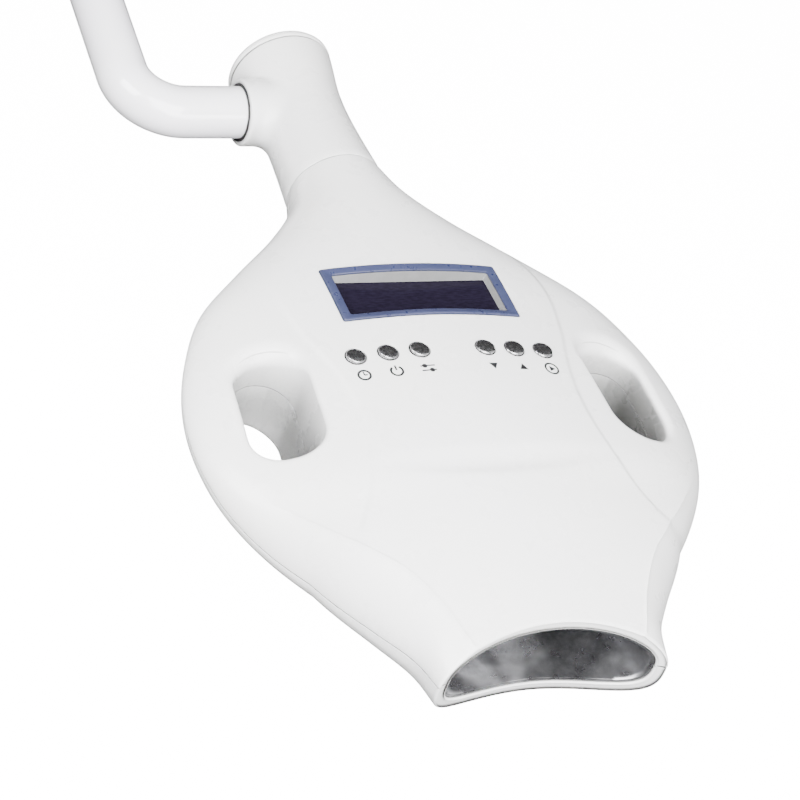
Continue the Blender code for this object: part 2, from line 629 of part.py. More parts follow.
def make_neck(parent):
    inner = ((NECK_LENGTH, NECK_BORE), (NECK_STOP, NECK_BORE), (NECK_STOP, NECK_MOUTH), (GAP, NECK_MOUTH))
    housing = turned(NECK_PROFILE + inner, NECK_START, NECK_AXIS, 32)
    item = add_part("neck_housing", housing, "shell_white", parent)
    boss = ((-BOSS_REACH, 0), (-BOSS_REACH, BOSS_RADIUS - 0.9), (-BOSS_REACH + 0.9, BOSS_RADIUS),
            (-5.0, BOSS_RADIUS), (-5.0, 0))
    combine(item, turned(boss, PIVOT, (1, 0, 0), 32), "UNION")
    bore_start = PIVOT - Vector((BOSS_REACH - BOSS_LIP, 0, 0))
    combine(item, rod(bore_start, (1, 0, 0), BOSS_BORE, BOSS_REACH - BOSS_LIP, 32), "DIFFERENCE")
    mouth_start = PIVOT - Vector((BOSS_REACH + 2, 0, 0))
    combine(item, rod(mouth_start, (1, 0, 0), BOSS_MOUTH, BOSS_REACH, 32), "DIFFERENCE")
    plug = NECK_BORE - GAP
    cap = CAP_PROFILE + ((NECK_LENGTH + GAP, plug), (CAP_PLUG, plug), (CAP_PLUG, CAP_HOLLOW),
                         (76.6, CAP_HOLLOW), (77.0, 0))
    add_part("neck_cap", turned(cap, NECK_START, NECK_AXIS, 32), "shell_white", parent)
    flange = BOSS_LIP + GAP
    seal = ((-SEAL_OUT, SLIDE), (-SEAL_OUT, BOSS_MOUTH - GAP), (flange, BOSS_MOUTH - GAP),
            (flange, BOSS_BORE - GAP), (flange + SEAL_THICK, BOSS_BORE - GAP), (flange + SEAL_THICK, SLIDE))
    face = PIVOT - Vector((BOSS_REACH, 0, 0))
    add_part("tilt_seal", turned(seal, face, (1, 0, 0), 32), "rubber_black", parent)
    bush_start = face + Vector((flange + SEAL_THICK + GAP, 0, 0))
    bush = tube_ring(bush_start, (1, 0, 0), SLIDE, BOSS_BORE - GAP, BUSH_LENGTH)
    add_part("tilt_bush", bush, "nylon_white", parent)


def make_swivel(parent):
    """Sleeve held by the shells and the ring that keeps the neck on it."""
    bore, outside = SLEEVE_RADII
    sleeve = ((-9.0, bore), (-9.0, SLEEVE_FLANGE), (-1.2, SLEEVE_FLANGE), (-1.2, outside), (9.0, outside),
              (9.0, bore))
    add_part("swivel_sleeve", turned(sleeve, NECK_START, NECK_AXIS, 24), "nylon_white", parent)
    start = NECK_START + NECK_AXIS * (NECK_STOP + 0.4)
    retainer = tube_ring(start, NECK_AXIS, outside + GAP, NECK_BORE - 0.4, 1.6, 24)
    add_part("swivel_retainer", retainer, "steel", parent)


def tube_path():
    """Centre line of the arm tube: inside the neck, out through the boss, round the bend, along the arm."""
    corner = PIVOT - Vector((TUBE_CORNER, 0, 0))
    path = [PIVOT + Vector((3.0, 0, 0)), corner + Vector((TUBE_BEND, 0, 0))]
    centre = corner + Vector((TUBE_BEND, 0, 0)) + ARM_AXIS * TUBE_BEND
    for turn in np.linspace(0, math.pi / 2, 9)[1:]:
        out = ARM_AXIS * math.cos(turn) + Vector((math.sin(turn), 0, 0))
        path.append(centre - out * TUBE_BEND)
    return path + [corner + ARM_AXIS * ARM_REACH]


def swept(path, normal, outer, inner, steps=20):
    """Hollow tube along a flat path whose plane has the given normal."""
    loops, points = [], []
    for radius in (outer, inner):
        walk = range(len(path)) if radius == outer else reversed(range(len(path)))
        for k in walk:
            along = (path[min(k + 1, len(path) - 1)] - path[max(k - 1, 0)]).normalized()
            if k == 1:
                along = (path[1] - path[0]).normalized()
            elif k == len(path) - 2:
                along = (path[-1] - path[-2]).normalized()
            side = along.cross(normal).normalized()
            loops.append(list(range(len(points), len(points) + steps)))
            for turn in np.linspace(0, 2 * math.pi, steps, endpoint=False):
                points.append(path[k] + (side * math.cos(turn) + normal * math.sin(turn)) * radius)
    return points, [face for a, b in zip(loops, loops[1:] + loops[:1]) for face in band(a, b)]


def make_arm(parent):
    normal = Vector((1, 0, 0)).cross(ARM_AXIS).normalized()
    add_part("arm_tube", swept(tube_path(), normal, TUBE_RADIUS, TUBE_RADIUS - TUBE_WALL), "tube_white", parent)
    end = PIVOT - Vector((TUBE_CORNER, 0, 0)) + ARM_AXIS * ARM_REACH
    spigot = ((-18.0, 0), (-18.0, SPIGOT_PLUG - 0.6), (-17.0, SPIGOT_PLUG), (GAP, SPIGOT_PLUG),
              (GAP, TUBE_RADIUS), (3.0, TUBE_RADIUS), (3.0, SPIGOT_RADIUS), (SPIGOT_LENGTH - 1.0, SPIGOT_RADIUS),
              (SPIGOT_LENGTH, SPIGOT_RADIUS - 1.0), (SPIGOT_LENGTH, 0))
    add_part("arm_end_spigot", turned(spigot, end, ARM_AXIS, 24), "steel", parent)
    for name, place, radius, thick in (("tilt_washer", -4.6, 14.2, 1.0), ("tilt_nut", -3.3, 14.4, 5.0)):
        ring = tube_ring(PIVOT + Vector((place, 0, 0)), (1, 0, 0), SLIDE, radius, thick, 24)
        add_part(name, ring, "steel", parent)


def main():
    clear_scene()
    arm = joint_frame("arm_frame", ARM_END)
    neck = joint_frame("tilt_axis", PIVOT, arm)
    head = joint_frame("turn_axis", NECK_START, neck)
    make_arm(arm)
    make_neck(neck)
    make_swivel(head)
    make_top_shell(head)
    make_bottom_shell(head)
    make_shell_screws(head)
    make_display(head)
    make_buttons(head)
    make_reflector(head)
    make_light_engine(head)
    make_fan(head)


main()
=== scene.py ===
"""Looks of the LED whitening lamp head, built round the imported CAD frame.

Shapes are worked out in millimetres in the head's own frame, whose origin is the middle of the display on the
panel's surface (X across, Y towards the neck, Z up), and set down in metres in the frame of the CAD part.
"""

import json
import math

import bmesh
import bpy
import numpy as np
from mathutils import Matrix, Vector
from mathutils.geometry import delaunay_2d_cdt


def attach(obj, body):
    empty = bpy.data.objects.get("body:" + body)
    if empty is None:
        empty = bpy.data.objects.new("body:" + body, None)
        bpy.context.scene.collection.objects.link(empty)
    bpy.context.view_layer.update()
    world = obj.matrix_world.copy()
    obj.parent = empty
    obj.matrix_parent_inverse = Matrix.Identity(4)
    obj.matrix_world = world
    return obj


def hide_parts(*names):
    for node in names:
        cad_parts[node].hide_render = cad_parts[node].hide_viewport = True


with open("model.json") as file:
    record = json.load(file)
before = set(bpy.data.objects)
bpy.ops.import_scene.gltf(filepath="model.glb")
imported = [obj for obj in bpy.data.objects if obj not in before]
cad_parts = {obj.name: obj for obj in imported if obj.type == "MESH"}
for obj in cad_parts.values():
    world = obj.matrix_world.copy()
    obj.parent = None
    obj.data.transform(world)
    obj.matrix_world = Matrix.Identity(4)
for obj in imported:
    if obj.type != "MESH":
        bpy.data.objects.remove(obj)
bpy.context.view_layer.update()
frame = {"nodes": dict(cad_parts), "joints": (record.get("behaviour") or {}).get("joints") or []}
JOINTS = {joint["name"]: joint for joint in frame["joints"]}

MM = 0.001
GAP = 0.3                     # clearance kept between touching pieces
SEAM = 0.2                    # rounding of the edges along the parting line

# Body: (y, half width, height of the widest line, top, bottom, fullness of the top, fullness of the bottom)
PROFILE = (
    (-159.5, 47.2, -40.0, -20.5, -60.6, 2.2, 3.0),
    (-146.0, 51.2, -41.0, -17.0, -60.4, 2.6, 2.8),
    (-132.0, 61.4, -41.5, -13.5, -60.0, 2.9, 2.6),
    (-117.0, 76.0, -40.5, -10.0, -59.5, 2.7, 2.3),
    (-101.0, 89.5, -38.5, -7.0, -59.5, 2.4, 2.1),
    (-82.0, 100.5, -35.0, -4.0, -59.0, 2.0, 2.0),
    (-61.0, 106.0, -31.0, -1.5, -57.5, 1.75, 2.0),
    (-37.0, 105.5, -27.0, -0.2, -55.5, 1.7, 2.0),
    (-13.0, 98.0, -23.0, 0.0, -53.0, 1.75, 2.0),
    (10.0, 84.6, -20.5, 0.0, -50.0, 1.9, 2.0),
    (28.0, 66.2, -19.5, 0.0, -47.5, 2.0, 2.0),
    (50.0, 42.8, -19.5, 0.0, -45.0, 2.0, 2.0),
    (70.0, 27.0, -20.5, -0.2, -43.0, 2.0, 2.0),
    (86.0, 20.8, -21.3, -0.5, -42.1, 2.0, 2.0),
)
MOUTH_Y, COLLAR_Y = PROFILE[0][0], PROFILE[-1][0]
MOUTH_BLEND = 44.5            # length over which the body turns into the mouth's curved rim
MOUTH_CURVE = 0.0047          # how far the rim's sides come forward, per square mm of half width
MOUTH_ARCH = 3.0              # rise of the mouth's lower edge at its middle
WALL = 2.6
RIM_EXTRA = 2.0               # the wall grows by this much at the mouth

# Raised middle panel: (y, distance of its edge from the middle line)
PANEL_EDGE = ((-118.0, 69.0), (-113.0, 64.5), (-100.0, 56.4), (-84.0, 50.6), (-62.0, 47.5), (-42.0, 49.5),
              (-18.0, 56.0), (5.0, 59.0), (24.0, 55.4), (44.0, 43.0))
PANEL_STEP = 0.8
PANEL_SOFT = 2.6              # width of the step
# Crease between the snout's top and its flanks: (y, distance from the middle line, height)
SNOUT_EDGE = ((-160.0, 34.5, -25.6), (-155.6, 36.4, -24.6), (-139.9, 43.0, -20.7), (-125.2, 53.6, -18.2),
              (-114.8, 66.4, -18.6), (-96.0, 84.5, -21.8), (-88.0, 91.0, -23.4), (-76.0, 98.0, -26.0))
CREASE_SOFT = 0.3
CREASE_RIDGE = (0.5, 0.6)     # height and half width of the fine ridge along the crease

# Neck and arm
NECK_RISE = math.radians(3.6)
NECK_START = Vector((0.0, COLLAR_Y, -21.3))
NECK_AXIS = Vector((0.0, math.cos(NECK_RISE), math.sin(NECK_RISE)))
NECK_LENGTH = 72.8
NECK_BORE = 16.4
NECK_MOUTH, NECK_STOP = 15.0, 3.2   # narrower opening at the collar: radius and depth
NECK_SHAPE = ((0.3, 20.6), (1.0, 20.7), (8.0, 20.4), (18.0, 19.7), (30.0, 19.1), (42.0, 19.0), (52.0, 19.6),
              (60.0, 20.7), (67.0, 21.8), (72.8, 22.6))
PIVOT_AT = 49.1               # distance of the tilt axis from the collar, along the neck
PIVOT = NECK_START + NECK_AXIS * PIVOT_AT
BOSS_REACH, BOSS_RADIUS, BOSS_BORE = 27.2, 14.3, 13.0
BOSS_MOUTH, BOSS_LIP = 12.2, 1.2    # narrower opening in the boss's face: radius and depth
BOSS_FILLET = (1.8, 6.0)      # fillet at the boss's foot, towards the cap and towards the collar
BOSS_EDGE = 1.2               # rounding of the boss's face
SEAL_THICK, SEAL_OUT = 1.0, 0.5     # flange of the seal, and how far its lip stands out of the boss
TUBE_RADIUS, TUBE_WALL = 11.0, 1.5
TUBE_CORNER = 73.6            # distance of the bend's corner from the neck's axis
TUBE_BEND = 22.0              # bend radius of the tube's centre line
ARM_RISE = math.radians(9.1)
ARM_AXIS = Vector((0.0, math.cos(ARM_RISE), math.sin(ARM_RISE)))
ARM_REACH = 150.0             # from the bend's corner to the tube's end
SPIGOT_LENGTH = 28.0
SPIGOT_PLUG, SPIGOT_RADIUS = 9.2, 8.0

# Panel
BEZEL_HALF = (38.0, 14.8)
BEZEL_RISE = 0.7
SCREEN_HALF = (34.2, 11.6)
WINDOW_TOP = -5.8
WINDOW_THICK = 1.2
WINDOW_TAPER = 1.0            # how far the recess's walls lean in
BUTTON_Y = -34.2
BUTTON_RADIUS = 3.95
BUTTON_RISE = 1.3
BUTTON_FLANGE, BUTTON_STEM = 5.2, 1.6
BUTTON_STEM_END = -8.0        # height of a stem's lower end, a millimetre above its switch
LABEL_Y = -44.2
BUTTONS = (("time", -40.2), ("power", -27.1), ("mode", -14.1), ("down", 14.1), ("up", 27.1), ("start", 40.2))

# Finger holes
GRIP_AT = (74.0, -49.4)
GRIP_HALF = (13.8, 25.0)
GRIP_TILT = math.radians(4.0)
GRIP_FILLET = (1.7, 4.2, 8.0)       # rounding of the hole's upper edge: at its inner, outer and neck side
GRIP_UNDERSIDE = 3.0                # rounding of its lower edge
GRIP_FOOT = {1: 0.0, -1: 1.8}       # how much narrower the hole is below its rounded edge
GRIP_DRAFT = 0.9                    # and at the parting line

# Closing screws
SCREWS = ((-27.0, 40.0), (27.0, 40.0), (-54.0, -92.0), (54.0, -92.0))
POST_RADIUS, COUNTERBORE, SHANK_HOLE = 5.2, 3.7, 1.9
SCREW_DEPTH = 9.0
SCREW_EDGE = 0.6              # rounding of the counterbore's edge

# Cooling slots in the lower shell: places along the head, half length and half width
VENTS = (-86.0, -80.0, -74.0, -68.0, -62.0, -56.0)
VENT_HALF = (17.0, 1.5)

# Light engine
LED_Y = -112.0
LED_HALF = (31.0, 12.0)
LED_Z = -38.0

# The head's frame in the part's frame, in millimetres: the turn joint stands at the neck's start
HEAD_AT = Vector(JOINTS["head_turn"]["pos_m"]) / MM - NECK_START


# ---------------------------------------------------------------- forms

def curve(rows):
    """Smooth line through (place, value, ...) rows: a function that gives one array for each value column."""
    table = np.array(rows, float)
    knots, values = table[:, 0], table[:, 1:]
    slopes = np.gradient(values, knots, axis=0)

    def read(at):
        at = np.clip(np.asarray(at, float), knots[0], knots[-1])
        i = np.clip(np.searchsorted(knots, at) - 1, 0, len(knots) - 2)
        h = knots[i + 1] - knots[i]
        s = (at - knots[i]) / h
        first, second = (1 + 2 * s) * (1 - s) ** 2, s * s * (3 - 2 * s)
        leave, arrive = s * (1 - s) ** 2 * h, s * s * (s - 1) * h
        return [first * values[i, k] + leave * slopes[i, k] + second * values[i + 1, k]
                + arrive * slopes[i + 1, k] for k in range(values.shape[1])]
    return read


def smooth(start, end, value):
    share = np.clip((np.asarray(value, float) - start) / (end - start), 0, 1)
    return share * share * (3 - 2 * share)


def band(first, second):
    """Quads between two closed loops of equal length; a loop of one repeated point gives triangles."""
    faces = []
    for i, a in enumerate(first):
        corners = tuple(dict.fromkeys((a, first[i - 1], second[i - 1], second[i])))
        if len(corners) > 2:
            faces.append(corners)
    return faces


def strip(first, second):
    """Quads between two open rows of equal length."""
    return [(a, b, d, c) for a, b, c, d in zip(first, first[1:], second, second[1:])]


class Form:
    """Points and faces of one mesh, in head millimetres."""

    def __init__(self):
        self.points, self.faces = [], []

    def add(self, points):
        start = len(self.points)
        self.points += [tuple(map(float, p)) for p in points]
        return list(range(start, len(self.points)))

    def loft(self, loops, closed=False):
        """Bands through closed loops, given as points or as indices of points that are already there."""
        rows = [list(loop) if isinstance(loop[0], int) else self.add(loop) for loop in loops]
        for a, b in zip(rows, rows[1:] + (rows[:1] if closed else [])):
            self.faces += band(a, b)
        return rows

    def strips(self, rows):
        """Bands between open rows, given as indices."""
        for a, b in zip(rows, rows[1:]):
            self.faces += strip(a, b)

    def sheet(self, points, triangles, edges, rings):
        """Add a triangulated surface. Its edges and its holes' rings come back as indices of this form."""
        first = self.add(points)[0]
        self.faces += [tuple(k + first for k in face) for face in triangles]
        return [[[k + first for k in row] for row in rows] for rows in (edges, rings)]

    def cap(self, loop):
        self.faces.append(tuple(loop))


def turned(profile, start, axis, steps=64, form=None):
    """Revolve (distance, radius) points about an axis. Radius 0 closes it with a pole, else the outline
    closes."""
    form = form or Form()
    axis = Vector(axis).normalized()
    side = axis.orthogonal().normalized()
    up = axis.cross(side)
    loops = []
    for distance, radius in profile:
        centre = Vector(start) + axis * distance
        if radius == 0:
            loops.append([form.add([centre])[0]] * steps)
        else:
            turns = np.linspace(0, 2 * math.pi, steps, endpoint=False)
            loops.append(form.add([centre + (side * math.cos(t) + up * math.sin(t)) * radius for t in turns]))
    form.loft(loops, closed=profile[0][1] != 0)
    return form


def rounded(profile, radius, steps=4, closed=True):
    """Round the corners of an outline of (distance, radius) points."""
    points = [Vector(p) for p in profile]
    result = []
    for k, corner in enumerate(points):
        before, after = points[k - 1], points[(k + 1) % len(points)]
        ends = not closed and k in (0, len(points) - 1)
        reach = min(radius, (before - corner).length * 0.45, (after - corner).length * 0.45)
        if ends or reach < 1e-6:
            result.append(tuple(corner))
            continue
        first = corner + (before - corner).normalized() * reach
        last = corner + (after - corner).normalized() * reach
        for s in np.linspace(0, 1, steps + 1):
            result.append(tuple(first * (1 - s) ** 2 + corner * 2 * s * (1 - s) + last * s * s))
    return result


def lathe(profile, start, axis, radius=0.3, steps=64):
    """A turned piece with rounded edges. The profile ends on the axis, or it is a ring's outline."""
    poles = profile[0][1] == 0
    return turned(rounded(profile, radius, closed=not poles), start, axis, steps)


def outline(centre, half, radius, tilt=0.0, corner_steps=8, side_steps=(1, 1)):
    """Rounded rectangle as (x, y) points, anticlockwise; `tilt` turns it about its centre."""
    points = []
    inner = (half[0] - radius, half[1] - radius)
    signs = ((1, 1), (-1, 1), (-1, -1), (1, -1))
    for quarter, (sx, sy) in enumerate(signs):
        for step in range(corner_steps + 1):
            turn = math.pi / 2 * (quarter + step / corner_steps)
            points.append((sx * inner[0] + radius * math.cos(turn), sy * inner[1] + radius * math.sin(turn)))
        next_x, next_y = signs[(quarter + 1) % 4]
        turn = math.pi / 2 * (quarter + 1)
        start = points[-1]
        end = (next_x * inner[0] + radius * math.cos(turn), next_y * inner[1] + radius * math.sin(turn))
        count = side_steps[quarter % 2]
        points += [(start[0] + (end[0] - start[0]) * k / count, start[1] + (end[1] - start[1]) * k / count)
                   for k in range(1, count)]
    cosine, sine = math.cos(tilt), math.sin(tilt)
    return np.array([(centre[0] + x * cosine - y * sine, centre[1] + x * sine + y * cosine)
                     for x, y in points])


def circle(centre, radius, steps=40):
    turns = np.linspace(0, 2 * math.pi, steps, endpoint=False)
    return np.stack([centre[0] + radius * np.cos(turns), centre[1] + radius * np.sin(turns)], 1)


def contains(loop, points):
    """Which of the points lie inside a closed loop."""
    hit = np.zeros(len(points), bool)
    for (x1, y1), (x2, y2) in zip(loop, np.roll(loop, -1, 0)):
        if y1 != y2:
            crosses = (y1 > points[:, 1]) != (y2 > points[:, 1])
            hit ^= crosses & (points[:, 0] < (x2 - x1) * (points[:, 1] - y1) / (y2 - y1) + x1)
    return hit


def perforate(columns, rows, holes, lines, scale, thin, margin):
    """Triangulate a rectangle of surface coordinates round its holes. Points also follow the given lines.
    Inside, every `thin`th row and column is kept, and nothing nearer than `margin` to a hole or line.
    Gives the two coordinates, the triangles, the four edges as index rows, and each hole's indices."""
    scale = np.array(scale)
    loops = [np.asarray(hole) for hole in list(holes) + list(lines)]
    near = np.concatenate(loops) * scale
    i, j = np.divmod(np.arange(len(rows) * len(columns)), len(columns))
    grid = np.column_stack([np.asarray(columns)[j], np.asarray(rows)[i]])
    inner = (i > 0) & (i < len(rows) - 1) & (j > 0) & (j < len(columns) - 1)
    keep = ~inner | ((i % thin == 0) & (j % thin == 0))
    check = np.nonzero(keep & inner)[0]
    for part in np.array_split(check, max(1, len(check) // 2000)):
        spot = grid[part] * scale
        bad = ((spot[:, None, :] - near[None]) ** 2).sum(2).min(1) < margin ** 2
        for loop in loops[:len(holes)]:
            bad |= contains(loop * scale, spot)
        keep[part[bad]] = False
    order = np.full(len(grid), -1)
    order[keep] = np.arange(keep.sum())
    points = [grid[keep]] + loops
    starts = np.cumsum([0] + [len(p) for p in points])
    rings = [list(range(starts[k + 1], starts[k + 2])) for k in range(len(loops))]
    edges = [pair for ring in rings[:len(holes)] for pair in zip(ring, ring[1:] + ring[:1])]
    edges += [pair for ring in rings[len(holes):] for pair in zip(ring, ring[1:])]
    points = np.concatenate(points)
    flat = points * scale
    out = delaunay_2d_cdt([Vector(p) for p in flat], edges, [], 0, 1e-6)
    source = [ids[0] for ids in out[3]]
    triangles = np.array([[source[k] for k in face] for face in out[2]])
    middles = flat[triangles].mean(1)
    outside = np.ones(len(triangles), bool)
    for loop in loops[:len(holes)]:
        outside &= ~contains(loop * scale, middles)
    order = order.reshape(len(rows), len(columns)).tolist()
    sides = [row[0] for row in order], [row[-1] for row in order]
    return points.T, triangles[outside].tolist(), (order[0], order[-1], *sides), rings[:len(holes)]


# ---------------------------------------------------------------- body surface

SECTION = curve(PROFILE)
PANEL = curve(PANEL_EDGE)
SNOUT = curve(SNOUT_EDGE)


def mouth_share(y):
    return np.clip((MOUTH_Y + MOUTH_BLEND - np.asarray(y, float)) / MOUTH_BLEND, 0, 1)


def inner_inset(y):
    return WALL + RIM_EXTRA * mouth_share(y)


def body_skin(half, inset, angle, y, fine=True):
    """Points of the upper (half = 1) or lower (half = -1) skin, `inset` inside the outer surface."""
    angle, y = np.broadcast_arrays(np.asarray(angle, float), np.asarray(y, float))
    width, middle, top, bottom, top_power, bottom_power = SECTION(y)
    share = mouth_share(y)
    sine = np.sin(angle)
    width = width - inset
    x = width * sine
    edge = middle + half * (GAP / 2 + (SEAM if fine else 0.0))
    power = top_power if half > 0 else bottom_power
    peak = top - inset if half > 0 else bottom + inset
    rise = np.maximum(0.0, 1 - np.abs(sine) ** power) ** (1 / power)
    z = edge + (peak - edge) * rise
    if half > 0 and fine:
        z = snout_form(z, np.abs(x), y, width, edge, peak, inset)
        z = z - panel_drop(np.abs(x), y, width)
    if half < 0:
        z = z + MOUTH_ARCH * share * (1 - sine * sine)
    lean = math.tan(NECK_RISE) * np.clip((y - 50.0) / (COLLAR_Y - 50.0), 0, 1)
    return np.stack([x, y - MOUTH_CURVE * share * x * x - lean * (z - NECK_START.z), z], -1)


def snout_form(z, x, y, width, edge, peak, inset):
    """Turn the round section into the snout's flat top and steep flanks, with a soft crease between them."""
    crease, height = SNOUT(y)
    crease, height = crease - inset * 0.5, height - inset
    crease = np.minimum(crease, width - 4.0)
    panel = peak + (height - peak) * (x / crease) ** 2
    out = np.clip((x - crease) / (width - crease), -3.0, 1.0)
    flank = edge + (height - edge) * np.sqrt(1 - out)
    creased = -CREASE_SOFT * np.logaddexp(-panel / CREASE_SOFT, -flank / CREASE_SOFT)
    ridge, spread = CREASE_RIDGE
    creased = creased + ridge * np.exp(-((x - crease) / spread) ** 2)
    share = smooth(-82.0, -106.0, y)
    return z + (np.maximum(creased, edge) - z) * share


def panel_drop(x, y, width):
    """How far the surface beside the raised middle panel lies below it."""
    edge = PANEL(y)[0]
    past = x - edge
    fade = np.clip(1 - past / np.maximum(width - edge, 1.0), 0, 1) ** 1.5
    along = smooth(46.0, 4.0, y) * smooth(-119.0, -112.0, y)
    return PANEL_STEP * smooth(-PANEL_SOFT / 2, PANEL_SOFT / 2, past) * fade * along


def skin_angle(x, y, inset=0.0):
    return np.arcsin(np.clip(np.asarray(x) / (SECTION(y)[0] - inset), -1, 1))


def on_skin(half, xy, depth=0.0, inset=0.0):
    """Points at (x, y), `depth` under the skin."""
    xy = np.asarray(xy, float)
    points = body_skin(half, inset, skin_angle(xy[:, 0], xy[:, 1], inset), xy[:, 1], fine=inset == 0)
    points[:, 2] -= half * depth
    return points


def top_height(x, y):
    return float(on_skin(1, [(x, y)])[0, 2])


def at_height(xy, z):
    return np.column_stack([xy, np.broadcast_to(z, len(xy))])


def arc(radius, steps=5):
    """Quarter round as (offset, depth) pairs, from the flat side to the wall."""
    return [(radius * (1 - math.cos(t)), radius * (1 - math.sin(t)))
            for t in np.linspace(math.pi / 2, 0, steps)]


RIM_ROUND, RIM_INSIDE = 1.1, 0.7      # rounding of the mouth's outer and inner edge
COLLAR_BEVEL, COLLAR_ROUND = 0.5, 0.15
BODY_ANGLES = np.linspace(-math.pi / 2, math.pi / 2, 139)
BODY_ROWS = np.linspace(MOUTH_Y + RIM_ROUND, COLLAR_Y - COLLAR_BEVEL, 164)


class Opening:
    """A hole in a shell half: its outline on the outer skin, the loops down through it, and the outline on
    the inner skin."""

    def __init__(self, outer, loops, inner):
        self.outer, self.loops, self.inner = outer, loops, inner


def plain_opening(half, shape, edge=0.4):
    """A hole with rounded edges straight through the wall; shape(extra) gives its outline."""
    loops = [on_skin(half, shape(wide), depth) for wide, depth in arc(edge, 4)[1:]]
    return Opening(shape(edge), loops, shape(0.0))


def grip_shape(side):
    def shape(extra):
        half = (GRIP_HALF[0] + extra, GRIP_HALF[1] + extra)
        return outline((side * GRIP_AT[0], GRIP_AT[1]), half, half[0] - 0.5, side * GRIP_TILT, 16, (1, 12))
    return shape


def grip_opening(half, side):
    """A finger hole's half: its edge is rounded most at the neck's end and least towards the middle."""
    shape, foot = grip_shape(side), GRIP_FOOT[half]
    wall = shape(-foot)
    out = shape(1.0 - foot) - wall
    fillet = np.full(len(wall), GRIP_UNDERSIDE)
    if half > 0:
        inner, outer, rear = GRIP_FILLET
        fillet = inner + (outer - inner) * smooth(-0.6, 0.9, out[:, 0] * side)
        fillet = fillet + (rear - fillet) * smooth(0.0, 1.0, out[:, 1])
    rounds = [(wall + out * (fillet * (1 - math.cos(t)))[:, None], fillet * (1 - math.sin(t)))
              for t in np.linspace(math.pi / 2, 0, 12)]
    loops = [on_skin(half, ring, depth) for ring, depth in rounds[1:]]
    for wide, up in ((-GRIP_DRAFT, 0.05), (0.05 - GRIP_DRAFT, 0.0), (WALL, 0.0)):
        ring = shape(wide)
        loops.append(at_height(ring, SECTION(ring[:, 1])[1] + half * (GAP / 2 + up)))
    return Opening(rounds[0][0], loops, shape(WALL))


def screw_opening(x, y):
    """Counterbore, screw seat and post in the lower shell."""
    def ring(radius):
        return circle((x, y), radius)

    post = float(SECTION(y)[1]) - GAP
    seat = screw_seat(x, y)
    edge = [on_skin(-1, ring(COUNTERBORE + wide), depth) for wide, depth in arc(SCREW_EDGE, 4)[1:]]
    levels = ((COUNTERBORE, seat), (SHANK_HOLE, seat), (SHANK_HOLE, post), (POST_RADIUS, post))
    walls = [at_height(ring(radius), z) for radius, z in levels]
    return Opening(ring(COUNTERBORE + SCREW_EDGE), edge + walls, ring(POST_RADIUS))


def screw_seat(x, y):
    return float(on_skin(-1, [(x, y)])[0, 2]) + SCREW_DEPTH


def skin_lines(half):
    """Lines that the upper skin's points follow: the middle panel's step and the snout's crease."""
    if half < 0:
        return []
    lines = []
    for side in (-1, 1):
        for shift in (-1.9, -1.1, -0.4, 0.4, 1.1, 1.9):
            y = np.linspace(-110.0, 34.0, 110)
            x = PANEL(y)[0] + shift
            lines.append(np.column_stack([side * skin_angle(x, y), y]))
        for shift in (-1.8, -1.0, -0.5, 0.0, 0.5, 1.0, 1.8):
            y = np.linspace(-157.6, -92.0, 110)
            x = np.minimum(SNOUT(y)[0], SECTION(y)[0] - 4.0) + shift
            if shift < 0:
                y, x = y[:72], x[:72]
            lines.append(np.column_stack([side * skin_angle(x, y), y]))
    return lines


def make_half(half, openings):
    """One shell half as a closed form: outer and inner skin, rim, collar, parting faces and the openings."""
    def flat(ring, inset=0.0):
        return np.column_stack([skin_angle(ring[:, 0], ring[:, 1], inset), ring[:, 1]])

    form = Form()
    scale = (100.0, 1.0)
    holes = [flat(opening.outer) for opening in openings]
    (angle, y), *surface = perforate(BODY_ANGLES, BODY_ROWS, holes, skin_lines(half), scale, 1, 0.75)
    edges, rings = form.sheet(body_skin(half, 0.0, angle, y), *surface)
    holes = [flat(opening.inner, WALL) for opening in openings]
    (angle, y), *surface = perforate(BODY_ANGLES, BODY_ROWS, holes, (), scale, 5, 2.0)
    inner_edges, inner_rings = form.sheet(body_skin(half, inner_inset(y), angle, y, fine=False), *surface)
    ends = []
    thick = WALL + RIM_EXTRA
    lip = [(wide, MOUTH_Y + depth, True) for wide, depth in arc(RIM_ROUND)[1:]]
    lip += [(thick - wide, MOUTH_Y + depth, False) for wide, depth in reversed(arc(RIM_INSIDE))]
    start = COLLAR_Y - COLLAR_BEVEL + COLLAR_ROUND
    collar = [(wide, start - depth, True) for wide, depth in arc(COLLAR_ROUND, 4)[1:]]
    collar.append((WALL, COLLAR_Y, False))
    for end, levels in ((0, lip), (1, collar)):
        rows = [edges[end]]
        rows += [form.add(body_skin(half, wide, BODY_ANGLES, y, fine)) for wide, y, fine in levels]
        rows.append(inner_edges[end])
        form.strips(rows)
        ends.append(rows)
    for side, column in ((-1, 0), (1, -1)):
        rows = [edges[2 if side < 0 else 3]]
        middle = SECTION(BODY_ROWS)[1]
        for wide, depth in arc(SEAM, 4)[1:]:
            base = body_skin(half, 0.0, side * math.pi / 2, BODY_ROWS)
            base[:, 0] -= side * wide
            base[:, 2] = middle + half * (GAP / 2 + depth)
            rows.append(form.add(base))
        rows.append(inner_edges[2 if side < 0 else 3])
        form.strips(rows)
        for end, place in ((0, 0), (1, -1)):
            corner = [row[column] for row in ends[end]][1:-1] + [row[place] for row in reversed(rows)]
            form.cap(corner)
    for ring, opening, inner_ring in zip(rings, openings, inner_rings):
        form.loft([ring] + opening.loops + [inner_ring])
    return form


# ---------------------------------------------------------------- finishes

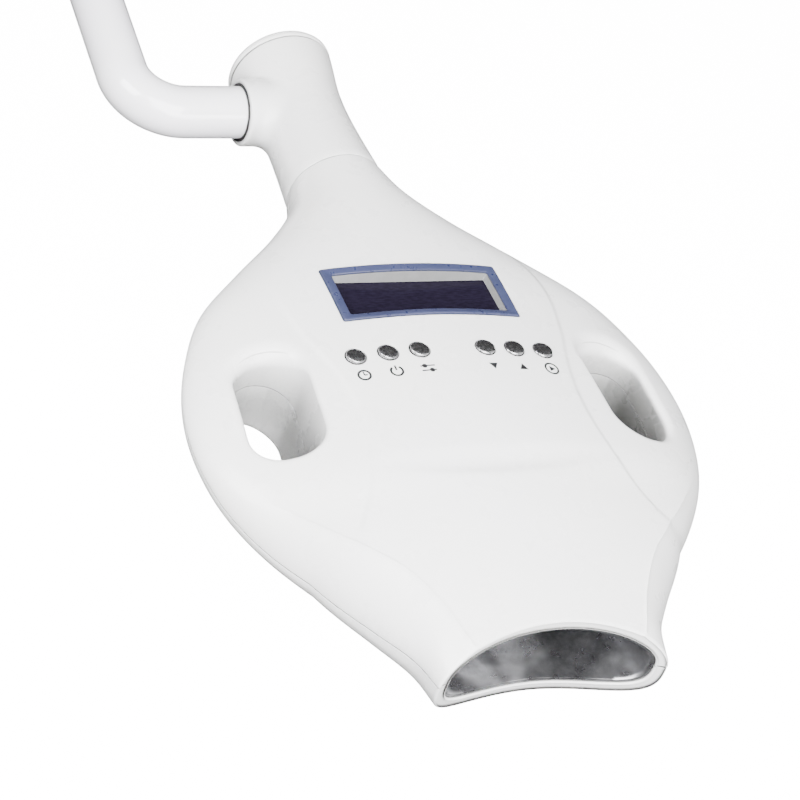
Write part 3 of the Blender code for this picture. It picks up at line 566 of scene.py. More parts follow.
def node(tree, kind, inputs=(), **settings):
    """A new node. Each of its given inputs is a value, or an output that is linked to it."""
    made = tree.nodes.new(kind)
    for name, value in settings.items():
        setattr(made, name, value)
    for name, value in dict(inputs).items():
        if isinstance(value, bpy.types.NodeSocket):
            tree.links.new(value, made.inputs[name])
        else:
            made.inputs[name].default_value = value
    return made


class Finish:
    """A material built from noise in the piece's own coordinates: tone, gloss and surface texture."""

    def __init__(self, name, colour, roughness, metallic=0.0, **shader_values):
        self.made = bpy.data.materials.new(f"finish_{name}")
        self.made.use_nodes = True
        self.tree = self.made.node_tree
        self.shader = self.tree.nodes["Principled BSDF"]
        values = {"base_color": (*colour, 1.0), "roughness": roughness, "metallic": metallic, **shader_values}
        for key, value in values.items():
            self.shader.inputs[key.replace("_", " ").title().replace("Ior", "IOR")].default_value = value
        self.place = node(self.tree, "ShaderNodeTexCoord").outputs["Object"]
        self.colour = (*colour, 1.0)

    def texture(self, kind, size, stretch, inputs=(), **settings):
        scale = [share / (size * MM) for share in stretch]
        mapping = node(self.tree, "ShaderNodeMapping", {"Vector": self.place, "Scale": scale})
        inputs = {"Vector": mapping.outputs["Vector"], "Scale": 1.0, **dict(inputs)}
        return node(self.tree, kind, inputs, **settings)

    def noise(self, size, detail=3.0, stretch=(1, 1, 1)):
        """Noise with features about `size` millimetres across."""
        inputs = {"Detail": detail, "Roughness": 0.55}
        return self.texture("ShaderNodeTexNoise", size, stretch, inputs).outputs["Fac"]

    def cells(self, size, stretch):
        return self.texture("ShaderNodeTexVoronoi", size, stretch, feature="SMOOTH_F1").outputs["Distance"]

    def across(self):
        """The piece's own left-to-right coordinate, in metres."""
        return node(self.tree, "ShaderNodeSeparateXYZ", {"Vector": self.place}).outputs["X"]

    def spread(self, source, low, high, start=0.3, end=0.7):
        inputs = {"Value": source, "From Min": start, "From Max": end, "To Min": low, "To Max": high}
        made = node(self.tree, "ShaderNodeMapRange", inputs, interpolation_type="SMOOTHSTEP")
        return made.outputs["Result"]

    def tone(self, source, other, amount=1.0, start=0.3, end=0.7):
        """Mix the colour towards another where the source is high."""
        base = self.shader.inputs["Base Color"]
        before = base.links[0].from_socket if base.links else self.colour
        inputs = {"A": before, "B": (*other, 1.0), "Factor": self.spread(source, 0.0, amount, start, end)}
        mix = node(self.tree, "ShaderNodeMix", inputs, data_type="RGBA")
        self.tree.links.new(mix.outputs["Result"], base)
        return self

    def painted_hollow_shade(self, reach, amount, start, end):
        """Painted shade: darken the colour where the surface is closed in within `reach` millimetres,
        standing in for the shadow that falls in hollows.
        """
        shade = node(self.tree, "ShaderNodeAmbientOcclusion", {"Distance": reach * MM}, samples=12)
        return self.tone(shade.outputs["AO"], (0.08, 0.08, 0.078), amount, start, end)

    def gloss(self, source, low, high, start=0.3, end=0.7):
        self.tree.links.new(self.spread(source, low, high, start, end), self.shader.inputs["Roughness"])
        return self

    def bump(self, source, depth, strength=1.0):
        """Raise the surface by up to `depth` millimetres where the source is high."""
        normal = self.shader.inputs["Normal"]
        inputs = {"Height": source, "Strength": strength, "Distance": depth * MM}
        if normal.links:
            inputs["Normal"] = normal.links[0].from_socket
        self.tree.links.new(node(self.tree, "ShaderNodeBump", inputs).outputs["Normal"], normal)
        return self


def shell_white():
    made = Finish("shell_white", (0.79, 0.79, 0.80), 0.3, coat_weight=0.12, coat_roughness=0.12)
    made.tone(made.noise(60.0, 4.0), (0.80, 0.795, 0.785), 0.8)
    made.tone(made.noise(1.4, 2.0), (0.74, 0.74, 0.75), 0.35, 0.55, 0.8)
    # Painted shade: the white is darkened towards near-black in hollows, such as inside the finger holes and
    # round the boss.
    made.painted_hollow_shade(40.0, 1.0, 0.84, 0.33)
    made.gloss(made.noise(18.0, 5.0), 0.24, 0.37)
    made.bump(made.noise(2.2, 3.0), 0.02, 0.5)
    return made.bump(made.noise(0.35, 2.0), 0.006, 0.6)


def tube_white():
    made = Finish("tube_white", (0.90, 0.88, 0.94), 0.14, coat_weight=0.5, coat_roughness=0.06)
    made.tone(made.noise(45.0), (0.92, 0.92, 0.94), 0.8)
    made.gloss(made.noise(9.0, 4.0), 0.10, 0.2)
    return made.bump(made.noise(2.6, 2.0), 0.02, 0.5)


def bezel_blue():
    made = Finish("bezel_blue", (0.026, 0.031, 0.070), 0.36, coat_weight=0.1, coat_roughness=0.15)
    made.tone(made.noise(9.0, 2.0, stretch=(0.3, 1, 1)), (0.036, 0.042, 0.090), 0.8)
    made.gloss(made.noise(3.0), 0.26, 0.42)
    return made.bump(made.noise(0.4), 0.01, 0.6)


def frame_grey():
    made = Finish("frame_grey", (0.15, 0.15, 0.152), 0.5)
    made.tone(made.noise(5.0), (0.12, 0.12, 0.121), 0.6)
    made.gloss(made.noise(2.0), 0.38, 0.55)
    return made.bump(made.noise(0.4), 0.012, 0.6)


def display_glass():
    made = Finish("display_glass", (0.006, 0.0045, 0.010), 0.16, specular_ior_level=0.09)
    made.tone(made.noise(0.6, 1.0, stretch=(0.2, 1, 1)), (0.010, 0.008, 0.017), 0.8)
    return made.gloss(made.noise(7.0, 5.0), 0.12, 0.22)


def chrome():
    made = Finish("chrome", (0.46, 0.46, 0.47), 0.2, 1.0)
    made.tone(made.noise(2.2), (0.30, 0.30, 0.31), 0.9)
    made.gloss(made.noise(1.2, 4.0), 0.18, 0.34)
    return made.bump(made.noise(2.4), 0.12, 0.6)


def reflector_metal():
    made = Finish("reflector_metal", (0.88, 0.88, 0.91), 0.32, 0.92)
    # Painted reflection: large patches darkened towards near-black stand in for the foil's uneven
    # reflections.
    made.tone(made.noise(19.0, 1.5), (0.16, 0.16, 0.17), 0.85, 0.44, 0.64)
    # Painted reflection: the colour darkens towards the piece's right side, standing in for the darker
    # reflections there.
    made.tone(made.across(), (0.12, 0.12, 0.13), 0.8, 0.068, 0.092)
    made.tone(made.noise(1.6, 3.0), (0.4, 0.4, 0.41), 0.2)
    made.gloss(made.noise(9.0, 3.0), 0.24, 0.42)
    made.bump(made.noise(13.0, 1.5), 1.6, 0.6)
    return made.bump(made.noise(1.3, 3.0), 0.05, 0.5)


def board_green():
    made = Finish("board_green", (0.02, 0.13, 0.055), 0.4)
    made.tone(made.cells(1.6, (1, 0.25, 1)), (0.04, 0.2, 0.09), 0.7, 0.35, 0.5)
    return made.gloss(made.noise(3.0), 0.3, 0.5)


def black_plastic():
    made = Finish("black_plastic", (0.022, 0.022, 0.024), 0.45)
    made.tone(made.noise(4.0), (0.035, 0.035, 0.037), 0.7)
    made.gloss(made.noise(3.0), 0.38, 0.55)
    return made.bump(made.noise(0.3), 0.01, 0.7)


def rubber_black():
    made = Finish("rubber_black", (0.012, 0.012, 0.012), 0.75)
    made.tone(made.noise(3.0), (0.022, 0.022, 0.021), 0.8)
    return made.bump(made.noise(0.5), 0.02, 0.7)


def nylon_white():
    made = Finish("nylon_white", (0.72, 0.71, 0.67), 0.5, subsurface_weight=0.1)
    made.tone(made.noise(6.0), (0.66, 0.65, 0.6), 0.7)
    return made.gloss(made.noise(2.0), 0.42, 0.6)


def board_white():
    made = Finish("board_white", (0.78, 0.78, 0.76), 0.42)
    made.tone(made.noise(3.0), (0.68, 0.68, 0.66), 0.6)
    return made.gloss(made.noise(2.0), 0.35, 0.5)


def aluminium():
    made = Finish("aluminium", (0.58, 0.59, 0.61), 0.32, 1.0)
    made.tone(made.noise(3.0, stretch=(1, 1, 0.05)), (0.48, 0.49, 0.51), 0.8)
    made.gloss(made.noise(1.0, 3.0, stretch=(1, 1, 0.05)), 0.26, 0.44)
    return made.bump(made.noise(0.5, 3.0, stretch=(1, 1, 0.05)), 0.02, 0.5)


def steel():
    made = Finish("steel", (0.50, 0.51, 0.53), 0.26, 1.0)
    made.tone(made.noise(4.0), (0.40, 0.41, 0.42), 0.7)
    made.gloss(made.noise(0.8, 3.0, stretch=(1, 0.2, 1)), 0.2, 0.38)
    return made.bump(made.noise(0.6, stretch=(1, 0.2, 1)), 0.015, 0.5)


def led_dome():
    made = Finish("led_dome", (0.60, 0.66, 0.80), 0.08, coat_weight=0.5, coat_roughness=0.03)
    made.tone(made.noise(1.2), (0.70, 0.72, 0.62), 0.6)
    return made.gloss(made.noise(1.0), 0.05, 0.12)


def ink():
    made = Finish("ink", (0.006, 0.006, 0.007), 0.5)
    made.tone(made.noise(0.5), (0.012, 0.012, 0.013), 0.7)
    return made.gloss(made.noise(0.5), 0.42, 0.6)


FINISHES = {make.__name__: make().made for make in (
    shell_white, tube_white, bezel_blue, frame_grey, display_glass, chrome, reflector_metal, board_green,
    black_plastic, rubber_black, nylon_white, board_white, aluminium, steel, led_dome, ink)}


def linked(name, data):
    item = bpy.data.objects.new(name, data)
    bpy.context.collection.objects.link(item)
    return item


def piece(name, form, finish, body, *nodes, slot=None, sharp=38.0):
    """Turn a form into a piece that rides on a body and stands for CAD nodes."""
    mesh = bpy.data.meshes.new(name)
    mesh.from_pydata([(Vector(p) + HEAD_AT) * MM for p in form.points], [], form.faces)
    work = bmesh.new()
    work.from_mesh(mesh)
    bmesh.ops.remove_doubles(work, verts=work.verts, dist=1e-6)
    bmesh.ops.recalc_face_normals(work, faces=work.faces)
    if work.calc_volume(signed=True) < 0:
        bmesh.ops.reverse_faces(work, faces=work.faces)
    work.to_mesh(mesh)
    work.free()
    mesh.shade_smooth()
    mesh.set_sharp_from_angle(angle=math.radians(sharp))
    mesh.materials.append(FINISHES[finish])
    item = linked(name, mesh)
    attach(item, body)
    if nodes:
        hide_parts(*nodes)


# ---------------------------------------------------------------- shells

DISPLAY_STEPS = (48, 18)      # points along the display's long and short sides


def display_shape(extra):
    half = (BEZEL_HALF[0] + extra, BEZEL_HALF[1] + extra)
    return outline((0, 0), half, 0.6 + max(0.0, extra), 0.0, 6, DISPLAY_STEPS)


def screen_shape(extra):
    half = (SCREEN_HALF[0] + extra, SCREEN_HALF[1] + extra)
    return outline((0, 0), half, max(0.4, 0.9 + extra), 0.0, 6, DISPLAY_STEPS)


def button_hole(x):
    return lambda extra: circle((x, BUTTON_Y), BUTTON_RADIUS + GAP + extra, 36)


def make_top_shell():
    shapes = [lambda extra: display_shape(GAP + extra)]
    shapes += [button_hole(x) for _, x in BUTTONS]
    openings = [plain_opening(1, shape, 0.3) for shape in shapes]
    openings += [grip_opening(1, side) for side in (-1, 1)]
    piece("shell_top", make_half(1, openings), "shell_white", "head", "top_shell")


def vent_shape(y):
    return lambda extra: outline((0, y), (VENT_HALF[0] + extra, VENT_HALF[1] + extra), 1.45 + extra, 0.0, 6,
                                 (20, 1))


def make_bottom_shell():
    openings = [plain_opening(-1, vent_shape(y), 0.5) for y in VENTS]
    openings += [screw_opening(x, y) for x, y in SCREWS] + [grip_opening(-1, side) for side in (-1, 1)]
    piece("shell_bottom", make_half(-1, openings), "shell_white", "head", "bottom_shell")


# ---------------------------------------------------------------- panel

def lofted_frame(levels):
    """A closed frame from (shape, extra, height, on_top) levels. Heights are above the skin where `on_top` is
    set."""
    form = Form()
    loops = []
    for shape, extra, height, on_top in levels:
        ring = shape(extra)
        loops.append(on_skin(1, ring, -height) if on_top else at_height(ring, height))
    form.loft(loops, closed=True)
    return form


def make_display():
    outer, inner = display_shape, screen_shape
    profile = ((outer, 0.0, -BEZEL_RISE), (outer, 0.0, 0.35), (outer, -0.1, 0.58), (outer, -0.35, BEZEL_RISE),
               (outer, -0.8, 0.66), (inner, 0.9, 0.22), (inner, 0.35, 0.14), (inner, 0.08, -0.05),
               (inner, 0.0, -0.3), (inner, 0.0, -BEZEL_RISE))
    bezel = lofted_frame([(shape, extra, height, True) for shape, extra, height in profile])
    piece("bezel", bezel, "bezel_blue", "head", "display_bezel")
    floor, ledge = WINDOW_TOP + GAP, -BEZEL_RISE - GAP
    walls = [(outer, -0.6, floor, False), (outer, -0.6, ledge, True), (inner, 0.05, ledge, True),
             (inner, -0.1, -1.3, True), (inner, 0.2 - WINDOW_TAPER, floor + 0.5, False),
             (inner, -WINDOW_TAPER, floor, False)]
    piece("recess_walls", lofted_frame(walls), "frame_grey", "head", "display_frame")
    glass = Form()
    rows = glass.loft([at_height(screen_shape(1.2), z) for z in (WINDOW_TOP - WINDOW_THICK, WINDOW_TOP)])
    glass.cap(rows[0][::-1])
    glass.cap(rows[1])
    piece("window", glass, "display_glass", "head", "display_window")


def make_buttons():
    crown = [(0.35 + (BUTTON_RISE - 0.35) * math.sin(t), BUTTON_RADIUS * math.cos(t) ** 0.8)
             for t in np.linspace(0.18, math.pi / 2, 9)[:-1]]
    flange = -WALL - 1.6
    for name, x in BUTTONS:
        surface = top_height(x, BUTTON_Y)
        stem = BUTTON_STEM_END - surface
        profile = [(stem, 0), (stem, BUTTON_STEM), (flange, BUTTON_STEM), (flange, BUTTON_FLANGE),
                   (flange + 1.0, BUTTON_FLANGE), (flange + 1.0, BUTTON_RADIUS), (0.1, BUTTON_RADIUS)]
        profile += crown + [(BUTTON_RISE, 0)]
        form = turned(profile, (x, BUTTON_Y, surface), (0, 0, 1), 48)
        piece(f"key_{name}", form, "chrome", f"button_{name}", f"button_{name}", sharp=50)


class Print:
    """Thin printed marks that lie on the panel."""

    def __init__(self):
        self.form = Form()

    def shape(self, points):
        top = self.form.add(on_skin(1, points, -0.03))
        base = self.form.add(on_skin(1, points, 0.05))
        self.form.faces += [tuple(top), tuple(reversed(base))] + band(base, top)

    def ring(self, centre, outer, inner, start=0.0, end=360.0, steps=32):
        turns = np.radians(np.linspace(start, end, steps + 1))
        for a, b in zip(turns, turns[1:]):
            self.shape([(centre[0] + r * math.cos(t), centre[1] + r * math.sin(t))
                        for r, t in ((inner, a), (outer, a), (outer, b), (inner, b))])

    def bar(self, start, end, thick):
        start, end = Vector(start), Vector(end)
        side = (end - start).orthogonal().normalized() * thick / 2
        self.shape([tuple(p) for p in (start - side, end - side, end + side, start + side)])


def make_labels():
    """Generic marks in place of words: clock, power, two levels, down, up, start."""
    marks = Print()
    place = dict(BUTTONS)
    clock = (place["time"], LABEL_Y)
    marks.ring(clock, 2.8, 1.9)
    marks.bar(clock, (clock[0], clock[1] + 1.7), 0.6)
    marks.bar(clock, (clock[0] + 1.3, clock[1]), 0.6)
    power = (place["power"], LABEL_Y)
    marks.ring(power, 2.8, 1.9, 125.0, 415.0)
    marks.bar((power[0], power[1] + 0.4), (power[0], power[1] + 2.9), 0.75)
    mode = place["mode"]
    marks.bar((mode - 3.0, LABEL_Y + 1.2), (mode + 3.0, LABEL_Y + 1.2), 0.65)
    marks.bar((mode - 3.0, LABEL_Y - 1.2), (mode + 3.0, LABEL_Y - 1.2), 0.65)
    marks.shape(circle((mode - 1.2, LABEL_Y + 1.2), 1.05, 20))
    marks.shape(circle((mode + 1.2, LABEL_Y - 1.2), 1.05, 20))
    for name, way in (("down", -1), ("up", 1)):
        x = place[name]
        marks.shape([(x - 1.9 * way, LABEL_Y - 1.5 * way), (x + 1.9 * way, LABEL_Y - 1.5 * way),
                     (x, LABEL_Y + 1.8 * way)])
    start = place["start"]
    marks.ring((start, LABEL_Y), 3.2, 2.35)
    marks.shape([(start - 0.9, LABEL_Y - 1.4), (start + 1.6, LABEL_Y), (start - 0.9, LABEL_Y + 1.4)])
    piece("panel_marks", marks.form, "ink", "head", slot="black_plastic")


# ---------------------------------------------------------------- light mouth

MOUTH_POINTS = 128
REFLECTOR_START = MOUTH_Y + 1.0
REFLECTOR_WALL = 1.2
REFLECTOR_LIP = 0.3           # how far its front edge is rounded forward
REFLECTOR_POWER = 0.45        # squareness of the reflector's back window
LED_PITCH, LED_ROW = 18.0, 5.0      # spacing along the two rows, and their distance from the middle
LED_FOOT, LED_DOME = 3.4, 2.6


def reflector_ring(share, inset):
    """Loop of the reflector: the mouth's opening at share 0, the light board's rounded window at share 1."""
    def squared(wave):
        return np.sign(wave) * np.abs(wave) ** REFLECTOR_POWER

    turns = np.linspace(0, 2 * math.pi, MOUTH_POINTS, endpoint=False)
    reach = WALL + RIM_EXTRA + GAP + inset
    halves = [1 if t < math.pi else -1 for t in turns]
    front = np.array([body_skin(half, reach, (math.pi / 2 - t % math.pi) * half, REFLECTOR_START, fine=False)
                      for t, half in zip(turns, halves)])
    x = squared(np.cos(turns)) * (LED_HALF[0] - inset)
    z = LED_Z + squared(np.sin(turns)) * (LED_HALF[1] - inset)
    back = np.column_stack([x, np.full(MOUTH_POINTS, LED_Y - GAP), z])
    ease = share * share * (3 - 2 * share)
    placed = front + (back - front) * ease
    placed[:, 1] = front[:, 1] + (back[:, 1] - front[:, 1]) * share
    return placed


def make_reflector():
    shares = np.linspace(0, 1, 28)
    form = Form()
    lip = reflector_ring(0.0, REFLECTOR_WALL / 2)
    lip[:, 1] -= REFLECTOR_LIP
    walls = [reflector_ring(share, 0.0) for share in shares]
    walls += [reflector_ring(share, REFLECTOR_WALL) for share in shares[::-1]]
    form.loft(walls + [lip], closed=True)
    piece("reflector_bowl", form, "reflector_metal", "head", "reflector", sharp=60)


def make_leds():
    top = GAP + 1.2
    profile = [(GAP, 0), (GAP, LED_FOOT), (top - 0.2, LED_FOOT), (top, LED_FOOT - 0.2), (top, LED_DOME + 0.1)]
    profile += [(top + LED_DOME * math.sin(t), LED_DOME * math.cos(t))
                for t in np.linspace(0, math.pi / 2, 12)[:-1]]
    profile.append((top + LED_DOME, 0))
    for number in range(6):
        x, z = LED_PITCH * (number % 3 - 1), LED_Z + (LED_ROW if number < 3 else -LED_ROW)
        form = turned(profile, (x, LED_Y, z), (0, -1, 0), 32)
        piece(f"lamp_{number + 1}", form, "led_dome", "head", f"led_{number + 1}")


def make_screws():
    """Cap screws with a cross recess, seen at the bottom of the counterbores."""
    steps = 32
    turns = np.linspace(0, 2 * math.pi, steps, endpoint=False)
    reach = np.where(np.abs(np.cos(2 * turns)) > 0.72, 1.7, 0.62)
    cross = np.column_stack([reach * np.cos(turns), reach * np.sin(turns)])
    for number, (x, y) in enumerate(SCREWS, start=1):
        seat = screw_seat(x, y) - GAP
        grip = float(SECTION(y)[1]) + 4.5 - seat
        form = Form()
        pole = form.add([(x, y, seat - 0.9)])[0]
        loops = [[pole] * steps]
        loops += [at_height(cross * size + (x, y), seat - depth) for size, depth in ((0.8, 1.2), (1.0, 2.4))]
        outside = ((-2.4, 2.2), (-2.2, 2.6), (-1.6, 3.05), (-1.0, 3.2), (0, 3.2), (0, 1.5), (grip, 1.5),
                   (grip + 1, 0.6))
        loops += [at_height(circle((x, y), radius, steps), seat + z) for z, radius in outside]
        loops.append([form.add([(x, y, seat + grip + 1)])[0]] * steps)
        form.loft(loops)
        piece(f"screw_{number}", form, "steel", "head", f"shell_screw_{number}")


# ---------------------------------------------------------------- neck and arm

NECK_RADIUS = curve(NECK_SHAPE)
NECK_SIDE = Vector((-1, 0, 0))
NECK_UP = NECK_AXIS.cross(NECK_SIDE)


def neck_points(angle, distance, radius):
    """Points round the neck's axis; angle 0 faces the arm."""
    angle, distance, radius = np.broadcast_arrays(angle, distance, radius)
    return (np.array(NECK_START) + distance[..., None] * np.array(NECK_AXIS)
            + (radius * np.cos(angle))[..., None] * np.array(NECK_SIDE)
            + (radius * np.sin(angle))[..., None] * np.array(NECK_UP))


def boss_loop(reach, radius_at, steps=96):
    """(angle, distance) where a circle round the tilt axis meets the neck's surface of that radius."""
    turns = np.linspace(0, 2 * math.pi, steps, endpoint=False)
    distance = PIVOT_AT + reach * np.cos(turns)
    height = reach * np.sin(turns)
    return np.column_stack([np.arcsin(height / radius_at(distance)), distance])


CAP_SHAPE = ((79.8, 0), (79.7, 6.0), (79.3, 12.0), (78.5, 17.6), (77.4, 20.9), (76.4, 22.2), (75.4, 22.75),
             (74.2, 22.8), (73.4, 22.6), (73.1, 22.3))
CAP_PLUG, CAP_HOLLOW = 66.0, 14.2


def neck_skin(distance):
    """Radius of the neck at a distance from the collar, with both ends' edges rounded."""
    ends = smooth(GAP + 0.4, GAP, distance) * 0.15 + smooth(NECK_LENGTH - 0.8, NECK_LENGTH, distance) * 0.55
    return NECK_RADIUS(distance)[0] - ends


def make_neck():
    form = Form()
    angles = np.linspace(-math.pi, math.pi, 97)
    ends = np.array([0.0, 0.15, 0.35, 0.7])
    rows = np.concatenate([GAP + ends, np.linspace(1.8, NECK_LENGTH - 1.4, 58), NECK_LENGTH - ends[::-1]])
    turns = np.linspace(0, 2 * math.pi, 97)[:-1]
    fillet = BOSS_FILLET[0] + (BOSS_FILLET[1] - BOSS_FILLET[0]) * smooth(0.6, -1.0, np.cos(turns))
    foot = boss_loop(BOSS_RADIUS + fillet, neck_skin)
    (angle, distance), *surface = perforate(angles, rows, [foot], (), (20.0, 1.0), 1, 0.9)
    edges, rings = form.sheet(neck_points(angle, distance, neck_skin(distance)), *surface)
    hole = boss_loop(BOSS_BORE, lambda t: np.full(np.shape(t), NECK_BORE))
    inner_rows = np.linspace(NECK_STOP, NECK_LENGTH, 12)
    (angle, distance), *surface = perforate(angles, inner_rows, [hole], (), (20.0, 1.0), 4, 1.1)
    inner_edges, inner_rings = form.sheet(neck_points(angle, distance, NECK_BORE), *surface)
    start = [form.add(neck_points(angles, t, NECK_MOUTH)) for t in (GAP, NECK_STOP)]
    form.strips([edges[0], *start, inner_edges[0]])
    form.strips([edges[1], inner_edges[1]])
    flat_foot = neck_points(foot[:, 0], foot[:, 1], neck_skin(foot[:, 1]))
    corner_at = boss_loop(BOSS_RADIUS, neck_skin)
    corner = neck_points(corner_at[:, 0], corner_at[:, 1], neck_skin(corner_at[:, 1]))
    wall = corner - np.column_stack([fillet, fillet * 0, fillet * 0])
    loops = [rings[0]]
    for s in np.linspace(0, 1, 10)[1:]:
        loops.append(flat_foot * (1 - s) ** 2 + corner * 2 * s * (1 - s) + wall * s * s)
    across = [NECK_AXIS * math.cos(t) + NECK_UP * math.sin(t) for t in turns]
    edge = BOSS_EDGE
    face = [(BOSS_REACH - edge * (1 - math.sin(t)), BOSS_RADIUS - edge * (1 - math.cos(t)))
            for t in np.linspace(0, math.pi / 2, 6)]
    face += [(BOSS_REACH - depth, BOSS_MOUTH + wide) for wide, depth in arc(0.2, 4)]
    face += [(BOSS_REACH - BOSS_LIP, BOSS_MOUTH), (BOSS_REACH - BOSS_LIP, BOSS_BORE)]
    for out, radius in face:
        loops.append([PIVOT + NECK_SIDE * out + way * radius for way in across])
    form.loft(loops + inner_rings)
    piece("neck_tube", form, "shell_white", "neck", "neck_housing")
    plug = NECK_BORE - GAP
    cap = CAP_SHAPE + ((73.1, plug), (CAP_PLUG, plug), (CAP_PLUG, CAP_HOLLOW), (76.6, CAP_HOLLOW), (77.0, 0))
    piece("neck_end", turned(cap, NECK_START, NECK_AXIS, 96), "shell_white", "neck", "neck_cap", sharp=50)
    bore, lip, flange = TUBE_RADIUS + 0.1, BOSS_MOUTH - 0.15, BOSS_LIP + GAP
    seal = [(-SEAL_OUT, bore), (-SEAL_OUT, lip), (flange, lip), (flange, BOSS_BORE - GAP),
            (flange + SEAL_THICK, BOSS_BORE - GAP), (flange + SEAL_THICK, bore)]
    piece("boss_seal", lathe(seal, PIVOT - Vector((BOSS_REACH, 0, 0)), (1, 0, 0), 0.2, 96), "rubber_black",
          "neck", "tilt_seal")


def tube_path(bend_steps=28):
    """Centre line of the arm tube: inside the neck, out through the boss, round the bend, along the arm."""
    corner = PIVOT - Vector((TUBE_CORNER, 0, 0))
    centre = corner + Vector((TUBE_BEND, 0, 0)) + ARM_AXIS * TUBE_BEND
    path = [(PIVOT + Vector((3.0, 0, 0)), Vector((-1, 0, 0)))]
    for turn in np.linspace(0, math.pi / 2, bend_steps):
        out = ARM_AXIS * math.cos(turn) + Vector((math.sin(turn), 0, 0))
        path.append((centre - out * TUBE_BEND, Vector((-math.cos(turn), 0, 0)) + ARM_AXIS * math.sin(turn)))
    path.append((corner + ARM_AXIS * ARM_REACH, ARM_AXIS))
    return path


def make_arm():
    normal = Vector((1, 0, 0)).cross(ARM_AXIS).normalized()
    steps = 72
    path = tube_path()
    walk = [(place, along, TUBE_RADIUS) for place, along in path]
    last, way = path[-1]
    walk[-1] = (last - way * 0.4, way, TUBE_RADIUS)
    walk += [(last - way * 0.1, way, TUBE_RADIUS - 0.12), (last, way, TUBE_RADIUS - 0.4),
             (last, way, TUBE_RADIUS - TUBE_WALL)]
    walk += [(place, along, TUBE_RADIUS - TUBE_WALL) for place, along in reversed(path[:-1])]
    form = Form()
    loops = []
    for place, along, radius in walk:
        side = along.cross(normal).normalized()
        turns = np.linspace(0, 2 * math.pi, steps, endpoint=False)
        loops.append([place + (side * math.cos(t) + normal * math.sin(t)) * radius for t in turns])
    form.loft(loops, closed=True)
    piece("arm", form, "tube_white", "arm", "arm_tube")
    end = PIVOT - Vector((TUBE_CORNER, 0, 0)) + ARM_AXIS * ARM_REACH
    plug, pin = SPIGOT_PLUG, SPIGOT_RADIUS
    spigot = [(-18.0, 0), (-18.0, plug - 0.8), (-16.8, plug), (GAP, plug), (GAP, TUBE_RADIUS),
              (3.0, TUBE_RADIUS), (3.0, pin), (14.0, pin), (14.0, pin - 0.8), (17.0, pin - 0.8), (17.0, pin),
              (SPIGOT_LENGTH - 1.0, pin), (SPIGOT_LENGTH, pin - 1.0), (SPIGOT_LENGTH, 0)]
    piece("spigot", lathe(spigot, end, ARM_AXIS, 0.3, 72), "steel", "arm", "arm_end_spigot")


# ---------------------------------------------------------------- frame, stage, lights and camera

FLOOR_GLOW = 14.0

def dress_frame():
    """Give the CAD nodes that stay their finish."""
    for node in frame["nodes"].values():
        for slot in node.material_slots:
            slot.material = FINISHES[slot.material.name.split(".")[0]]


def spot_at(x, y, z):
    """A place in head millimetres, in metres in the part's frame."""
    return (Vector((x, y, z)) + HEAD_AT) * MM


def make_stage():
    """A pale floor that runs up into a dome. It is bright to the camera alone, and throws no light up."""
    form = Form()
    level, radius = -260.0, 6000.0
    rings = [(level, 0.0), (level, radius * 0.3), (level, radius * 0.7)]
    rings += [(level + radius * math.sin(t), radius * math.cos(t))
              for t in np.linspace(0, math.pi / 2, 16)[:-1]]
    rings.append((level + radius, 0.0))
    form = turned(rings, (0, 0, 0), (0, 0, 1), 48)
    mesh = bpy.data.meshes.new("floor")
    mesh.from_pydata([spot_at(*p) for p in form.points], [], form.faces)
    mesh.shade_smooth()
    floor = linked("floor", mesh)
    paper = Finish("floor_paper", (0.92, 0.92, 0.92), 0.9)
    paper.shader.inputs["Emission Color"].default_value = (1.0, 1.0, 1.0, 1.0)
    paper.shader.inputs["Emission Strength"].default_value = FLOOR_GLOW
    mesh.materials.append(paper.made)
    floor.visible_diffuse = False
    floor.visible_glossy = False
    floor.visible_shadow = False


def add_light(name, place, target, size, power):
    lamp = bpy.data.lights.new(name, "AREA")
    lamp.shape = "RECTANGLE"
    lamp.size, lamp.size_y = size
    lamp.energy = power
    item = linked(name, lamp)
    item.location = spot_at(*place)
    item.rotation_mode = "QUATERNION"
    item.rotation_quaternion = (spot_at(*target) - item.location).to_track_quat("-Z", "Y")


ROOM_GLOW = (0.02, 0.5)       # brightness of the room below and above
MIRROR_GLOW = 0.32            # share of it that shows in reflections


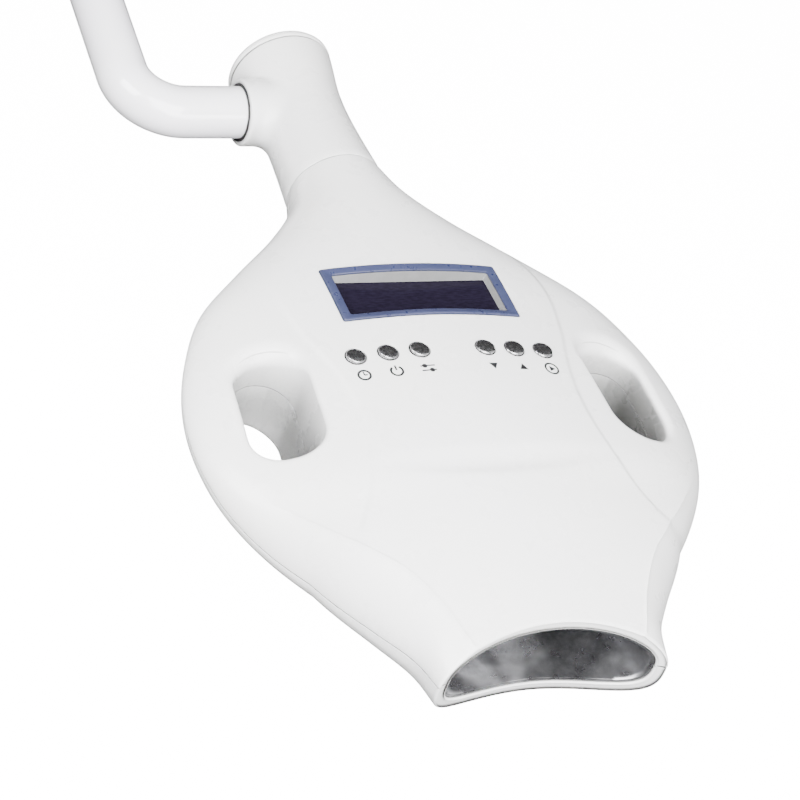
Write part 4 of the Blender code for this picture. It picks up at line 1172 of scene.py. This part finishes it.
def make_room():
    """Even light from all round, brighter from above and much dimmer in reflections."""
    world = bpy.data.worlds.new("room")
    world.use_nodes = True
    tree = world.node_tree
    place = node(tree, "ShaderNodeTexCoord").outputs["Generated"]
    height = node(tree, "ShaderNodeSeparateXYZ", {"Vector": place}).outputs["Z"]
    level = node(tree, "ShaderNodeMapRange", {"Value": height, "From Min": -0.6, "From Max": 0.8,
                                              "To Min": ROOM_GLOW[0], "To Max": ROOM_GLOW[1]})
    mirrored = node(tree, "ShaderNodeLightPath").outputs["Is Glossy Ray"]
    dim = node(tree, "ShaderNodeMapRange", {"Value": mirrored, "To Min": 1.0, "To Max": MIRROR_GLOW})
    factors = {0: level.outputs["Result"], 1: dim.outputs["Result"]}
    glow = node(tree, "ShaderNodeMath", factors, operation="MULTIPLY")
    tree.links.new(glow.outputs["Value"], tree.nodes["Background"].inputs["Strength"])
    tree.nodes["Background"].inputs["Color"].default_value = (1.0, 1.0, 1.0, 1.0)
    bpy.context.scene.world = world


def make_lights():
    add_light("key", (-200, -480, 520), (0, -60, -20), (0.6, 0.6), 23)
    add_light("front", (60, -1000, 330), (0, -150, -40), (0.9, 0.35), 18)
    add_light("fill", (900, -420, 320), (0, -40, -20), (0.8, 0.8), 3)
    add_light("strip", (260, -340, 620), (-60, 160, 0), (0.9, 0.25), 1.5)
    add_light("arm_side", (-700, 0, 520), (-150, 150, 0), (0.4, 0.4), 15)


def make_camera():
    """The photo's view: from in front of the mouth, on the arm's side, looking down."""
    lens = bpy.data.cameras.new("camera")
    lens.lens, lens.sensor_width = 135.0, 36.0
    lens.clip_start, lens.clip_end = 0.05, 30.0
    camera = linked("camera", lens)
    forward, up = Vector((0.4409, 0.6489, -0.6201)).normalized(), Vector((0.0357, 0.6777, 0.7345))
    right = forward.cross(up).normalized()
    up = right.cross(forward)
    turn = Matrix((right, up, -forward)).transposed().to_4x4()
    camera.matrix_world = Matrix.Translation(spot_at(-525.22, -786.0, 691.58)) @ turn
    bpy.context.scene.camera = camera


def main():
    make_camera()
    dress_frame()
    make_top_shell()
    make_bottom_shell()
    make_display()
    make_buttons()
    make_labels()
    make_reflector()
    make_leds()
    make_screws()
    make_neck()
    make_arm()
    make_stage()
    make_room()
    make_lights()


main()
